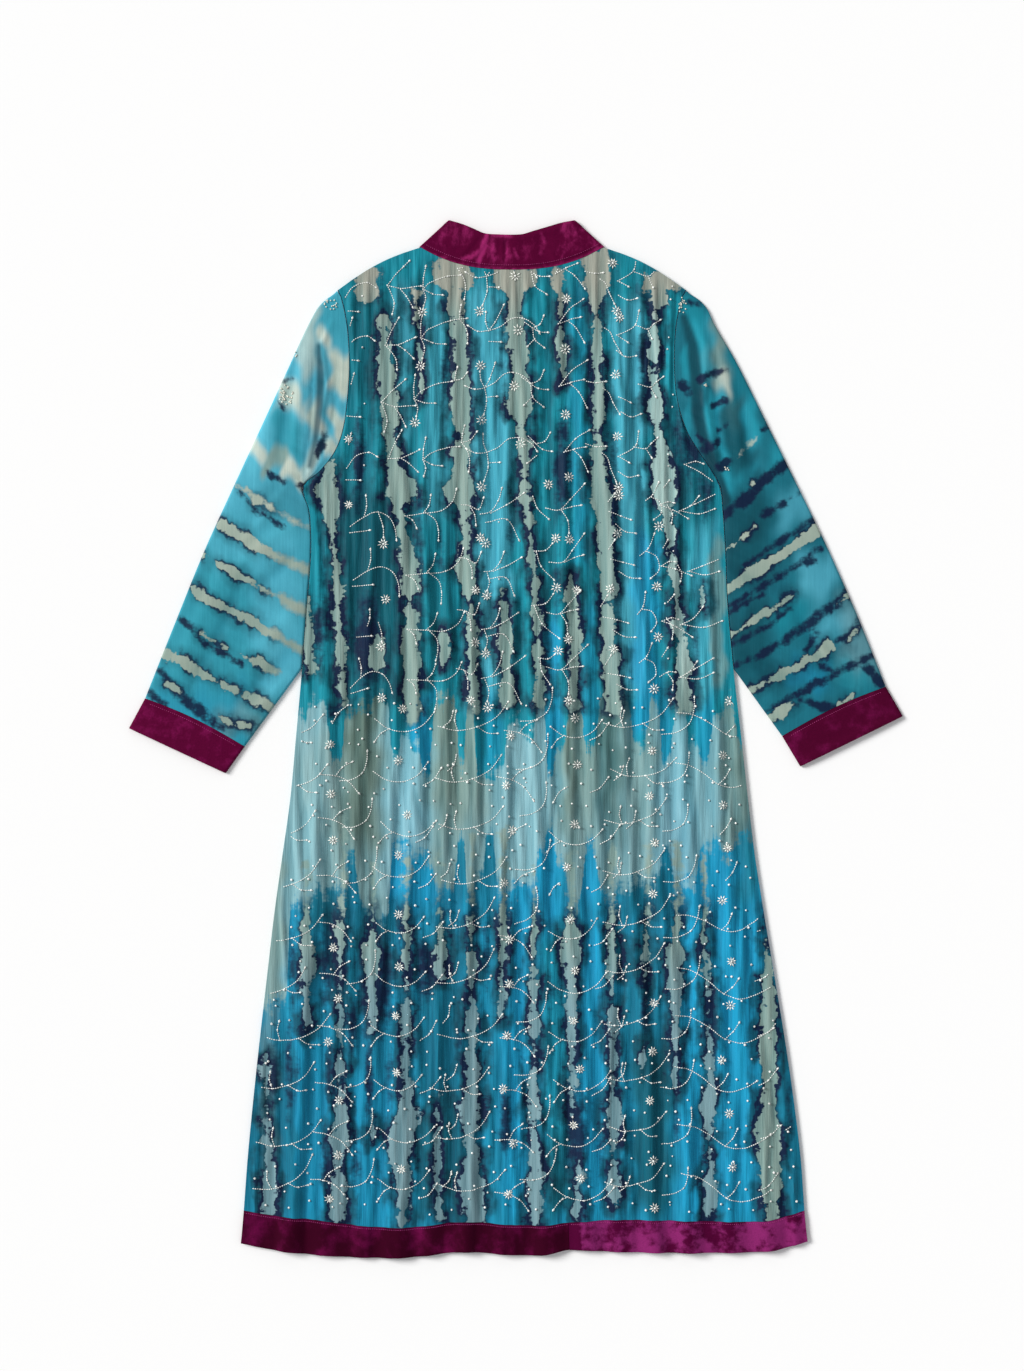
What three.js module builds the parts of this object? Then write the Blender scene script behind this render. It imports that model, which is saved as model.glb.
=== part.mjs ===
// A long silk jacket laid face down on a flat surface, so that its back shows.
//
// It is cut from a back, two fronts and two sleeves of crinkled silk. Velvet finishes it:
// a stand collar, a cuff on each sleeve and a band round the hem, joined once at the back.
// The fronts lie flat, and the back lies over them in soft lengthwise folds that fan out
// from the neck to the hem. The fronts meet edge to edge and have no fastening.
//
// Millimetres. The origin is on the surface, under the middle of the outline.
// +X is towards the wearer's right, +Y towards the collar and +Z up.

import * as THREE from "three";

// ---- Cloth

const silk = 1.3; // wall of a silk panel
const velvet = 1.6; // wall of a velvet band
const seamGap = 0.3; // between two pieces at a seam
const layerGap = 1.2; // of air between the fronts and the back
const sleeveClearance = 0.6; // between a sleeve and the side of the body

// ---- Body, seen from above. A section is a level down the body and its two edges.

const shoulderLevel = 493;
const underarmLevel = 278;
const hemLevel = -518;

const bodySections = [
  { level: 493, left: -196, right: 187 },
  { level: 484, left: -191.5, right: 182 },
  { level: 451, left: -185, right: 175.5 },
  { level: 412, left: -183, right: 174 },
  { level: 374, left: -185, right: 177 },
  { level: 340, left: -190, right: 187 },
  { level: 316, left: -199, right: 201 },
  { level: 295, left: -215, right: 215 },
  { level: 278, left: -234, right: 224 },
  { level: 251, left: -227, right: 227 },
  { level: 206, left: -225, right: 230 },
  { level: 153, left: -229, right: 232 },
  { level: 77, left: -235, right: 239 },
  { level: -2, left: -242, right: 248 },
  { level: -66, left: -248, right: 255 },
  { level: -131, left: -257, right: 263 },
  { level: -188, left: -265, right: 272 },
  { level: -248, left: -272, right: 282 },
  { level: -353, left: -284, right: 299 },
  { level: -452, left: -294, right: 312 },
  { level: -518, left: -299, right: 317 },
];

// Drop of the hem band's seam and lower edge below the hem level, across the body.
const hemLine = [
  { across: 0, seam: 0, edge: 36 },
  { across: 0.05, seam: 5, edge: 42 },
  { across: 0.13, seam: 10, edge: 48 },
  { across: 0.22, seam: 17, edge: 51.2 },
  { across: 0.3, seam: 18, edge: 51 },
  { across: 0.39, seam: 12, edge: 45 },
  { across: 0.47, seam: 15, edge: 48 },
  { across: 0.53, seam: 16, edge: 48.5 },
  { across: 0.58, seam: 13, edge: 43 },
  { across: 0.66, seam: 10, edge: 45 },
  { across: 0.8, seam: 11, edge: 46 },
  { across: 0.93, seam: 11, edge: 44 },
  { across: 1, seam: 0, edge: 34 },
];

// Lengthwise folds of the back. Trough is where a fold starts across the body and crest its
// top, both at the shoulders; drift moves them across by the hem. From is how far down the
// body it starts, from 0 at the shoulders to 1 at the hem.
const backFolds = [
  { trough: 0.004, crest: 0.034, drift: 0.05, rise: 6, from: 0.36 },
  { trough: 0.115, crest: 0.15, drift: 0, rise: 3.5, from: 0.06 },
  { trough: 0.19, crest: 0.215, drift: 0, rise: 3, from: 0.2 },
  { trough: 0.24, crest: 0.275, drift: 0, rise: 5, from: 0.03 },
  { trough: 0.31, crest: 0.335, drift: 0, rise: 3.5, from: 0.1 },
  { trough: 0.365, crest: 0.395, drift: 0, rise: 5.5, from: 0.03 },
  { trough: 0.43, crest: 0.465, drift: 0, rise: 4, from: 0.08 },
  { trough: 0.505, crest: 0.54, drift: 0, rise: 5, from: 0.04 },
  { trough: 0.579, crest: 0.61, drift: 0, rise: 4.5, from: 0.12 },
  { trough: 0.64, crest: 0.665, drift: 0, rise: 3, from: 0.05 },
  { trough: 0.7, crest: 0.73, drift: 0, rise: 5, from: 0.1 },
  { trough: 0.758, crest: 0.79, drift: 0, rise: 6, from: 0.04 },
  { trough: 0.83, crest: 0.865, drift: 0, rise: 3.5, from: 0.15 },
  { trough: 0.9, crest: 0.93, drift: 0, rise: 4.5, from: 0.3 },
  { trough: 0.965, crest: 0.98, drift: 0, rise: 2, from: 0.5 },
];
const foldFadeIn = 0.16; // share of the body over which a fold grows to its full rise
const edgeShare = 0.03; // share of the body's width over which the back comes down to its sides
const edgePull = 0.17; // share of the body's width, at each side, that follows the armhole
const shoulderFade = 3; // the larger, the sooner the rows lose the slope of the shoulders
const hemFade = 6; // the larger, the later they take up the curve of the hem
const bandJoin = 0.579; // where across the body the hem band is joined

// ---- Neck and collar, about the middle of the neck

const neckMiddle = -4.5;
const neckHalfWidth = 100;
const neckPointLevel = 540.5;
const backNeck = { depth: 24.5, squareness: 2.5 };
const frontNeck = { depth: 80, squareness: 2.2 };
const shoulderBow = 6; // how far the shoulders curve above a straight line
const collarTipHalfWidth = 68;
const collarTipLevel = 569.7;
// How far the collar's upper edge lies under its tips, across the back from -1 to 1
const backCollarLine = [
  { across: -1, drop: 0 },
  { across: -0.8, drop: 4 },
  { across: -0.62, drop: 9 },
  { across: -0.45, drop: 14 },
  { across: -0.25, drop: 15.3 },
  { across: 0.15, drop: 15.3 },
  { across: 0.35, drop: 11.5 },
  { across: 0.6, drop: 6.5 },
  { across: 0.8, drop: 2.5 },
  { across: 1, drop: 0 },
];
const frontCollarEdge = { depth: 70, squareness: 2 };
const frontOpening = 2; // between the two fronts and the two ends of the collar

// ---- Sleeves. Along runs from 0 at the shoulder to 1 at the cuff's seam.

const partLevel = 77; // the sleeves lie along the body's sides down to here
const leftSleeve = {
  side: "left",
  outer: [
    { along: 0, x: -196.6, y: 493 },
    { along: 0.05, x: -212, y: 482 },
    { along: 0.12, x: -226.5, y: 458.5 },
    { along: 0.27, x: -251, y: 406 },
    { along: 0.41, x: -280, y: 343 },
    { along: 0.55, x: -312, y: 274 },
    { along: 0.68, x: -342, y: 208 },
    { along: 0.84, x: -374.5, y: 128 },
    { along: 1, x: -407.5, y: 45 },
  ],
  cuffInner: { x: -298, y: -8 },
  hemOuter: { x: -425.3, y: 12 },
  hemInner: { x: -319, y: -37.5 },
};
const rightSleeve = {
  side: "right",
  outer: [
    { along: 0, x: 187.6, y: 493 },
    { along: 0.05, x: 205, y: 481.5 },
    { along: 0.12, x: 219, y: 454.5 },
    { along: 0.27, x: 244, y: 411 },
    { along: 0.41, x: 277, y: 344.5 },
    { along: 0.55, x: 309, y: 279.5 },
    { along: 0.68, x: 340, y: 215.5 },
    { along: 0.84, x: 375, y: 136.5 },
    { along: 1, x: 406.5, y: 57.8 },
  ],
  cuffInner: { x: 292.5, y: 3.5 },
  hemOuter: { x: 425.3, y: 25.3 },
  hemInner: { x: 312.5, y: -30 },
};
const fanShare = 0.36; // the part of a sleeve, from the shoulder, whose rings start at the underarm
const fanDrop = 2; // how far down the side those rings are spread
const cuffBow = 4; // how far a cuff's seam curves up towards the shoulder
const hollowFade = 2; // the larger, the sooner the armhole's hollow is gone down the sleeve
const edgeFree = 0.08; // from here along it on, a sleeve's outer edge has none of that hollow
const bowFade = 4; // the larger, the later the bow of the cuff's seam comes in
const sleevePuff = 2.2; // how far the upper layer stands above the sleeve's flat edges
const cuffPuff = 1.6; // the same on a cuff
const puffStart = -0.03; // a sleeve's puff grows between these two places along it
const puffFull = 0.1;
const foldInset = 2; // cloth at a sleeve's flat edges, in walls

// Soft folds on a sleeve's upper layer: the line that each follows, from and to a place
// (along, across), with across 0 at the outer edge and 1 at the inner one.
const sleeveFolds = [
  { along: 0.03, across: 0.3, toAlong: 0.36, toAcross: 0.62, rise: 4, halfWidth: 13 },
  { along: 0.06, across: 0.62, toAlong: 0.42, toAcross: 0.86, rise: 3, halfWidth: 11 },
  { along: 0.45, across: 0.2, toAlong: 0.62, toAcross: 0.8, rise: 2, halfWidth: 14 },
  { along: 0.8, across: 0.95, toAlong: 0.97, toAcross: 0.55, rise: 2.5, halfWidth: 11 },
];

// ---- Fineness

const armholeSteps = 9;
const besideSteps = 10;
const skirtSteps = 12;
const shoulderColumns = 4;
const fanSteps = 4;
const partedSteps = 4;
const collarColumns = 3;
const frontCollarSteps = 6;
const backCollarSteps = 16;
const turnSteps = 4;
const bandSteps = 2;

// ---- Small tools

const mix = (a, b, t) => a + (b - a) * t;
const smoothStep = (low, high, x) => {
  const t = Math.min(1, Math.max(0, (x - low) / (high - low)));
  return t * t * (3 - 2 * t);
};
const steps = (count) => Array.from({ length: count + 1 }, (_, i) => i / count);
const downShare = (level, top, bottom) => (top - level) / (top - bottom);

// The value in column `key` where column `by` is `at`: a smooth curve through the rows, whose
// slope at each row is that from the row before it to the row after it.
function readTable(table, by, key, at) {
  const rising = table[table.length - 1][by] > table[0][by];
  let i = 0;
  while (i < table.length - 2 && (rising ? at > table[i + 1][by] : at < table[i + 1][by])) i += 1;
  const slope = (k) => {
    const before = table[Math.max(0, k - 1)];
    const after = table[Math.min(table.length - 1, k + 1)];
    return (after[key] - before[key]) / (after[by] - before[by]);
  };
  const a = table[i];
  const b = table[i + 1];
  const span = b[by] - a[by];
  const t = (at - a[by]) / span;
  const curve = (k) => k * k * (3 - 2 * k);
  return (
    mix(a[key], b[key], curve(t)) +
    span * (slope(i) * t * (1 - t) ** 2 - slope(i + 1) * t * t * (1 - t))
  );
}

// ---- The body's outline

const bodyEdge = (side, level) => readTable(bodySections, "level", side, level);
const widthAtTop = (across) => mix(bodySections[0].left, bodySections[0].right, across);
const downBody = (level) => downShare(level, shoulderLevel, hemLevel);

// Levels of the body's rows. A sleeve has points at the same levels along the armhole, where
// they draw together towards both ends, and down to where it parts from the body's side.
const armholeLevels = steps(armholeSteps).map((t) =>
  mix(shoulderLevel, underarmLevel, (1 - Math.cos(t * Math.PI)) / 2),
);
const besideLevels = steps(besideSteps).map((t) => mix(underarmLevel, partLevel, t));
const skirtLevels = steps(skirtSteps).map((t) => mix(partLevel, hemLevel, t));
const bodyLevels = [...armholeLevels, ...besideLevels.slice(1), ...skirtLevels.slice(1)];

// Level of a point of the neck's seam or of the collar's free edge, t from -1 to 1 across it.
const dip = (top, curve) => (t) => top - curve.depth * (1 - Math.abs(t) ** curve.squareness);
const backSeam = dip(neckPointLevel, backNeck);
const frontSeam = dip(neckPointLevel, frontNeck);
const backEdge = (t) => collarTipLevel - readTable(backCollarLine, "across", "drop", t);
const frontEdge = dip(collarTipLevel, frontCollarEdge);

// The upper edge of a panel: a bowed shoulder, then the neck's curve, less the seam's gap.
function topEdge(x, seam) {
  const t = (x - neckMiddle) / neckHalfWidth;
  const step = 0.01;
  const slope = (seam(t + step) - seam(t - step)) / (2 * step * neckHalfWidth);
  if (Math.abs(t) < 1) return seam(t) - seamGap * Math.hypot(1, slope);
  const tip = t < 0 ? bodySections[0].left : bodySections[0].right;
  const neckPoint = neckMiddle + Math.sign(t) * neckHalfWidth;
  const up = (x - tip) / (neckPoint - tip);
  return mix(shoulderLevel, neckPointLevel - seamGap, up) + shoulderBow * Math.sin(Math.PI * up);
}

// The straight line that the cloth keeps to inside an armhole, and the side's edge below it.
function grainEdge(side, level) {
  if (level < partLevel) return bodyEdge(side, level);
  const share = downShare(level, shoulderLevel, partLevel);
  return mix(bodySections[0][side], bodyEdge(side, partLevel), share);
}

// X of a place (across, level) of the body. Only the cloth next to an armhole follows its curve.
function bodyX(across, level) {
  const pull = (side, share) =>
    (bodyEdge(side, level) - grainEdge(side, level)) * Math.max(0, 1 - share / edgePull) ** 2;
  const grain = mix(grainEdge("left", level), grainEdge("right", level), across);
  return grain + pull("left", across) + pull("right", 1 - across);
}

// Where a place (across, level) of the body lies: rows follow the upper edge near the
// shoulders and the hem's line near the hem.
function bodyPlace(across, level, seam) {
  const down = downBody(level);
  const rise = topEdge(widthAtTop(across), seam) - shoulderLevel;
  const drop = readTable(hemLine, "across", "seam", across);
  return { x: bodyX(across, level), y: level + rise * (1 - down) ** shoulderFade - drop * down ** hemFade };
}

// Where a place of the hem band lies, w from 0 at its seam to 1 at its lower edge.
function bandPlace(across, w) {
  const seam = readTable(hemLine, "across", "seam", across) + seamGap;
  const edge = readTable(hemLine, "across", "edge", across);
  const level = hemLevel - mix(seam, edge, w);
  return { x: bodyX(across, level), y: level };
}

// ---- The back's folds

// The places across the body of one fold's left trough, crest and right trough, at a place down it.
function foldPlaces(i, down) {
  const fold = backFolds[i];
  const next = backFolds[i + 1];
  return {
    left: fold.trough + fold.drift * down,
    crest: fold.crest + fold.drift * down,
    right: next ? next.trough + next.drift * down : 1,
  };
}

// Height of the back's lower face above the surface. Each fold is half a cosine wave up to its
// crest and half a wave down.
function backUnderside(across, down) {
  const toSide = Math.min(across, 1 - across) / edgeShare;
  let height = mix(velvet + seamGap, silk + layerGap, smoothStep(0, 1, toSide));
  backFolds.forEach((fold, i) => {
    const { left, crest, right } = foldPlaces(i, down);
    if (across <= left || across >= right) return;
    const off = across < crest ? (crest - across) / (crest - left) : (across - crest) / (right - crest);
    const grown = smoothStep(fold.from, fold.from + foldFadeIn, down);
    height += (fold.rise * grown * (1 + Math.cos(Math.PI * off))) / 2;
  });
  return height;
}

// Columns across the back at a place down it: each fold's trough, crest and flanks.
function backColumns(down) {
  const columns = [0];
  backFolds.forEach((_, i) => {
    const { left, crest, right } = foldPlaces(i, down);
    columns.push(left, mix(left, crest, 0.5), crest, mix(crest, right, 0.5));
  });
  columns.push(1);
  return columns;
}
const joinColumn = 1 + 4 * backFolds.findIndex((fold) => fold.trough === bandJoin);

// ---- Solids from grids of points

const point = ({ x, y }, z) => new THREE.Vector3(x, y, z);

// One closed geometry from the skins of a wall. Points that coincide may repeat.
function solid(points, triangles) {
  const geometry = new THREE.BufferGeometry().setFromPoints(points);
  geometry.setIndex(triangles);
  geometry.computeVertexNormals();
  return geometry;
}

// A wall with an upper and a lower skin, each a grid of rows of points from left to right,
// the first row furthest up. Its four edges are closed.
function sheetWall(upper, lower) {
  const rows = upper.length;
  const columns = upper[0].length;
  const points = [...upper.flat(), ...lower.flat()];
  const triangles = [];
  const top = (r, c) => r * columns + c;
  const under = (r, c) => rows * columns + top(r, c);
  const quad = (a, b, c, d) => triangles.push(a, b, c, a, c, d);
  for (let r = 0; r < rows - 1; r += 1) {
    for (let c = 0; c < columns - 1; c += 1) {
      quad(top(r, c), top(r + 1, c), top(r + 1, c + 1), top(r, c + 1));
      quad(under(r, c), under(r, c + 1), under(r + 1, c + 1), under(r + 1, c));
    }
    quad(top(r, 0), under(r, 0), under(r + 1, 0), top(r + 1, 0));
    quad(top(r + 1, columns - 1), under(r + 1, columns - 1), under(r, columns - 1), top(r, columns - 1));
  }
  for (let c = 0; c < columns - 1; c += 1) {
    quad(top(0, c + 1), under(0, c + 1), under(0, c), top(0, c));
    quad(top(rows - 1, c), under(rows - 1, c), under(rows - 1, c + 1), top(rows - 1, c + 1));
  }
  return solid(points, triangles);
}

// A wall that is open at both ends, from an outer and an inner ring of points at each station.
// Seen from the last station back to the first, the rings run clockwise.
function tubeWall(outer, inner) {
  const stations = outer.length;
  const around = outer[0].length;
  const points = [...outer.flat(), ...inner.flat()];
  const triangles = [];
  const out = (s, k) => s * around + (k % around);
  const into = (s, k) => stations * around + out(s, k);
  const quad = (a, b, c, d) => triangles.push(a, b, c, a, c, d);
  for (let k = 0; k < around; k += 1) {
    for (let s = 0; s < stations - 1; s += 1) {
      quad(out(s, k), out(s + 1, k), out(s + 1, k + 1), out(s, k + 1));
      quad(into(s, k), into(s, k + 1), into(s + 1, k + 1), into(s + 1, k));
    }
    quad(out(0, k), out(0, k + 1), into(0, k + 1), into(0, k));
    quad(out(stations - 1, k), into(stations - 1, k), into(stations - 1, k + 1), out(stations - 1, k + 1));
  }
  return solid(points, triangles);
}

// ---- The pieces

const silkCloth = new THREE.MeshStandardMaterial({
  name: "silk",
  color: 0x2a93ad,
  roughness: 0.55,
  metalness: 0,
});
const velvetPile = new THREE.MeshStandardMaterial({
  name: "velvet",
  color: 0x7d1150,
  roughness: 0.85,
  metalness: 0,
});

function piece(name, geometry, material) {
  const mesh = new THREE.Mesh(geometry, material);
  mesh.name = name;
  return mesh;
}

function backPanel() {
  const grid = (wall) =>
    bodyLevels.map((level) =>
      backColumns(downBody(level)).map((across) =>
        point(bodyPlace(across, level, backSeam), backUnderside(across, downBody(level)) + wall),
      ),
    );
  return piece("back", sheetWall(grid(silk), grid(0)), silkCloth);
}

// Places across half the neck, from 0 at its middle to 1, where the front of the collar and
// the fronts have their columns.
const openingShare = frontOpening / 2 / neckHalfWidth;
const frontNeckSteps = steps(frontCollarSteps).map((k) => mix(openingShare, 1, k));

// Columns across one front, in shares of the body's width: the shoulder's, then the neck's.
function frontColumns(side) {
  const { left, right } = bodySections[0];
  const across = (x) => (x - left) / (right - left);
  const towards = side === "left" ? -1 : 1;
  const neck = frontNeckSteps.map((t) => across(neckMiddle + towards * neckHalfWidth * t));
  const neckPoint = neck[neck.length - 1];
  const outside = side === "left" ? 0 : 1;
  const shoulder = steps(shoulderColumns).slice(1).map((k) => mix(neckPoint, outside, k));
  const columns = [...neck, ...shoulder];
  return side === "left" ? columns.reverse() : columns;
}

function frontPanel(side) {
  const grid = (height) =>
    bodyLevels.map((level) =>
      frontColumns(side).map((across) => point(bodyPlace(across, level, frontSeam), height)),
    );
  return piece(`front_${side}`, sheetWall(grid(silk), grid(0)), silkCloth);
}

// One length of the hem band: its columns, and the height of its lower face at each of them.
function hemBand(name, columns, underside) {
  const grid = (wall) =>
    steps(bandSteps).map((w) =>
      columns.map((across) => point(bandPlace(across, w), underside(across) + wall)),
    );
  return piece(name, sheetWall(grid(velvet), grid(0)), velvetPile);
}

function hemBands() {
  const columns = backColumns(1);
  const halfGap = seamGap / 2 / (bodyEdge("right", hemLevel) - bodyEdge("left", hemLevel));
  const overBack = (across) => backUnderside(across, 1);
  const toJoin = [...columns.slice(0, joinColumn), bandJoin - halfGap];
  const fromJoin = [bandJoin + halfGap, ...columns.slice(joinColumn + 1)];
  const onSurface = () => 0;
  const front = (side) => hemBand(`hem_front_${side}`, frontColumns(side), onSurface);
  return [
    hemBand("hem_back_left", toJoin, overBack),
    hemBand("hem_back_right", fromJoin, overBack),
    front("left"),
    front("right"),
  ];
}

// The band of the collar, from the opening along one front, round the neck point, across
// the back and down the other front. Each station turns the band's outer face with it.
function collar() {
  const low = velvet / 2;
  const high = silk + layerGap + velvet / 2;
  const stations = [];
  const station = (t, turned, seam, edge) => {
    // turned runs from 0 on the fronts to 1 on the back, half round at the neck points.
    const angle = Math.PI * turned;
    const outward = Math.sign(t) * Math.sin(angle);
    const reach = ((high - low) / 2) * outward;
    stations.push({
      height: mix(low, high, (1 - Math.cos(angle)) / 2),
      normal: new THREE.Vector3(outward, 0, -Math.cos(angle)),
      seam: { x: neckMiddle + neckHalfWidth * t + reach, y: seam(t) },
      edge: { x: neckMiddle + collarTipHalfWidth * t + reach, y: edge(t) },
    });
  };
  const front = (t) => station(t, 0, frontSeam, frontEdge);
  const back = (t) => station(t, 1, backSeam, backEdge);
  const turn = (t, turned) => station(t, turned, backSeam, backEdge);
  const round = steps(turnSteps).slice(1, -1);
  frontNeckSteps.forEach((t) => front(-t));
  round.forEach((k) => turn(-1, k));
  steps(backCollarSteps).forEach((k) => back(mix(-1, 1, k)));
  round.forEach((k) => turn(1, 1 - k));
  [...frontNeckSteps].reverse().forEach(front);
  const skin = (side) =>
    steps(collarColumns).map((w) =>
      stations.map(({ height, normal, seam, edge }) =>
        point({ x: mix(edge.x, seam.x, w), y: mix(edge.y, seam.y, w) }, height).addScaledVector(
          normal,
          (side * velvet) / 2,
        ),
      ),
    );
  return piece("collar", sheetWall(skin(1), skin(-1)), velvetPile);
}

// Level of a sleeve's inner edge. Its rings fan out from the underarm, so this edge hardly
// moves down before they have turned to lie across the sleeve.
function innerLevel(sleeve, along) {
  const turned = along / fanShare;
  if (turned < 1) return underarmLevel - fanDrop * turned;
  return mix(underarmLevel - fanDrop, sleeve.cuffInner.y, (along - fanShare) / (1 - fanShare));
}

// Shares across a sleeve of its columns, and along it of its rings.
const sleeveColumns = armholeLevels.map((level) => downShare(level, shoulderLevel, underarmLevel));
function sleeveStations(sleeve) {
  const bottom = sleeve.cuffInner.y;
  const fan = steps(fanSteps).map((t) => fanShare * t);
  const parted = steps(partedSteps).slice(1).map((t) => mix(partLevel, bottom, t));
  const turned = [...besideLevels.slice(1), ...parted].map((level) =>
    mix(fanShare, 1, downShare(level, underarmLevel - fanDrop, bottom)),
  );
  return [...fan, ...turned];
}

// Where a place (across, along) of a sleeve lies. Its rings run from the outer edge to the
// inner one, and the first follows the armhole, whose hollow fades down the sleeve.
function sleevePlace(sleeve, across, along) {
  const outwards = sleeve.side === "left" ? -1 : 1;
  const beside = (level) => bodyEdge(sleeve.side, level) + outwards * sleeveClearance;
  const inner = innerLevel(sleeve, along);
  const parted = Math.max(0, downShare(inner, partLevel, sleeve.cuffInner.y));
  const innerX = mix(beside(Math.max(inner, partLevel)), sleeve.cuffInner.x, parted);
  const outerX = readTable(sleeve.outer, "along", "x", along);
  const outer = readTable(sleeve.outer, "along", "y", along);
  const y = mix(outer, inner, across);
  const level = Math.max(y, underarmLevel);
  const down = downShare(level, shoulderLevel, underarmLevel);
  const chord = mix(beside(shoulderLevel), beside(underarmLevel), down);
  const free = smoothStep(0, edgeFree, along) * (1 - across) ** 3;
  const hollow = (beside(level) - chord) * (1 - along) ** hollowFade * (1 - free);
  const bow = cuffBow * along ** bowFade * Math.sin(Math.PI * across);
  return { x: mix(outerX, innerX, across) + hollow, y: y + bow };
}

// How far the folds lift a sleeve's upper layer, over a place of it.
function sleeveLift(sleeve, across, along) {
  const here = sleevePlace(sleeve, across, along);
  return sleeveFolds.reduce((lift, fold) => {
    const a = sleevePlace(sleeve, fold.across, fold.along);
    const b = sleevePlace(sleeve, fold.toAcross, fold.toAlong);
    const run = { x: b.x - a.x, y: b.y - a.y };
    const length = run.x ** 2 + run.y ** 2;
    const t = ((here.x - a.x) * run.x + (here.y - a.y) * run.y) / length;
    if (t <= 0 || t >= 1) return lift;
    const off = Math.hypot(here.x - a.x - t * run.x, here.y - a.y - t * run.y) / fold.halfWidth;
    if (off >= 1) return lift;
    return lift + (fold.rise * Math.sin(Math.PI * t) * (1 + Math.cos(Math.PI * off))) / 2;
  }, 0);
}

// A flattened tube of cloth: the lower layer lies on the surface and the upper one arches
// over it. `place` gives a point of its outline, and `lift` the folds of the upper layer.
function flatTube(name, place, lift, stations, wall, puff, material) {
  const edgeHeight = 2 * wall + seamGap;
  const arch = (across) => Math.sqrt(Math.max(0, 1 - (2 * across - 1) ** 4));
  const over = sleeveColumns;
  const ring = (along, inset) => {
    const places = over.map((across) => place(across, along));
    const last = places.length - 1;
    const moved = (from, to) => {
      const share = (foldInset * inset) / Math.hypot(to.x - from.x, to.y - from.y);
      return { x: mix(from.x, to.x, share), y: mix(from.y, to.y, share) };
    };
    const ends = [moved(places[0], places[1]), moved(places[last], places[last - 1])];
    [places[0], places[last]] = ends;
    const top = over.map((across) => edgeHeight + (puff(along) + lift(across, along)) * arch(across));
    const upper = places.map((at, i) => point(at, top[i] - inset));
    const lower = places.map((at) => point(at, inset));
    return [...upper, ...lower.reverse()];
  };
  const skin = (inset) => stations.map((along) => ring(along, inset));
  return piece(name, tubeWall(skin(0), skin(wall)), material);
}

// A mirrored sleeve's rings run the other way round, so its faces are turned.
function facingOut(mesh) {
  const index = mesh.geometry.getIndex().array;
  for (let i = 0; i < index.length; i += 3) [index[i + 1], index[i + 2]] = [index[i + 2], index[i + 1]];
  mesh.geometry.computeVertexNormals();
  return mesh;
}

function sleeveAndCuff(sleeve) {
  const body = flatTube(
    `sleeve_${sleeve.side}`,
    (across, along) => sleevePlace(sleeve, across, along),
    (across, along) => sleeveLift(sleeve, across, along),
    sleeveStations(sleeve),
    silk,
    (along) => sleevePuff * smoothStep(puffStart, puffFull, along),
    silkCloth,
  );
  const seamOuter = sleeve.outer[sleeve.outer.length - 1];
  const cuffDepth = Math.hypot(sleeve.hemOuter.x - seamOuter.x, sleeve.hemOuter.y - seamOuter.y);
  const cuffPlace = (across, w) => {
    const seam = sleevePlace(sleeve, across, 1);
    const edge = {
      x: mix(sleeve.hemOuter.x, sleeve.hemInner.x, across),
      y: mix(sleeve.hemOuter.y, sleeve.hemInner.y, across),
    };
    return { x: mix(seam.x, edge.x, w), y: mix(seam.y, edge.y, w) };
  };
  const cuffStations = steps(bandSteps).map((w) => mix(seamGap / cuffDepth, 1, w));
  const cuff = flatTube(
    `cuff_${sleeve.side}`,
    cuffPlace,
    () => 0,
    cuffStations,
    velvet,
    () => cuffPuff,
    velvetPile,
  );
  return sleeve.side === "left" ? [body, cuff] : [facingOut(body), facingOut(cuff)];
}

// ---- The jacket

const jacket = new THREE.Group();
jacket.name = "silk_jacket";
jacket.add(
  backPanel(),
  frontPanel("left"),
  frontPanel("right"),
  collar(),
  ...hemBands(),
  ...sleeveAndCuff(leftSleeve),
  ...sleeveAndCuff(rightSleeve),
);

export default jacket;
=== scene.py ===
# %% [markdown]
# # A silk jacket with velvet trim, laid flat
#
# The jacket lies face down, so its back shows. It is tie-dyed silk, embroidered with silver
# vines, and a velvet band finishes its neck, its sleeves and its hem. The rigid model gives each
# panel's place; here each one becomes thin cloth with its creases, its dye and its stitches.
# We load that model first, because every piece below is made in its frame, in metres.

import bpy
import numpy as np
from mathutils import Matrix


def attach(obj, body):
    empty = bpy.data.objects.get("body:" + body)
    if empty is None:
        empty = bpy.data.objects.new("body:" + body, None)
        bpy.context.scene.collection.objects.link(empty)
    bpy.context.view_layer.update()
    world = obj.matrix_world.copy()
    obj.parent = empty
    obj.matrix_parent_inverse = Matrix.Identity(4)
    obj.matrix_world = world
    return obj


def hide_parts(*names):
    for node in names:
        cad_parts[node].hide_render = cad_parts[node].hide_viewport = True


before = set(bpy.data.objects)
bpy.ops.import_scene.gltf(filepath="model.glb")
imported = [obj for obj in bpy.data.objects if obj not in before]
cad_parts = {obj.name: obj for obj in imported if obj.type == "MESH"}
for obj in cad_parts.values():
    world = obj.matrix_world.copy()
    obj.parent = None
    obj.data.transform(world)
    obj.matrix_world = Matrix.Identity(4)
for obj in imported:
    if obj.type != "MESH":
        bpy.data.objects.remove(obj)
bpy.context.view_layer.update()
mm = 0.001

# %% [markdown]
# ## Small tools
#
# A panel is a function of two places, one across it and one down it. Tables give its outline
# level by level, and a smooth curve is read through their rows. The patterns are laid out on a
# chart of small squares, counted from the top left corner, as an embroiderer's chart is.

# %% Curves through tables
def mix(a, b, t):
    """From a at t = 0 to b at t = 1, in a straight line."""
    return a + (b - a) * t


def smooth_step(low, high, x):
    """0 below low, 1 above high, and 3t^2 - 2t^3 of the share t between them."""
    t = np.clip((x - low) / (high - low), 0, 1)
    return t * t * (3 - 2 * t)


def bell(x, middle, width):
    """1 at the middle, falling as exp(-t^2) with the distance t in widths."""
    return np.exp(-(((x - middle) / width) ** 2))


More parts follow.
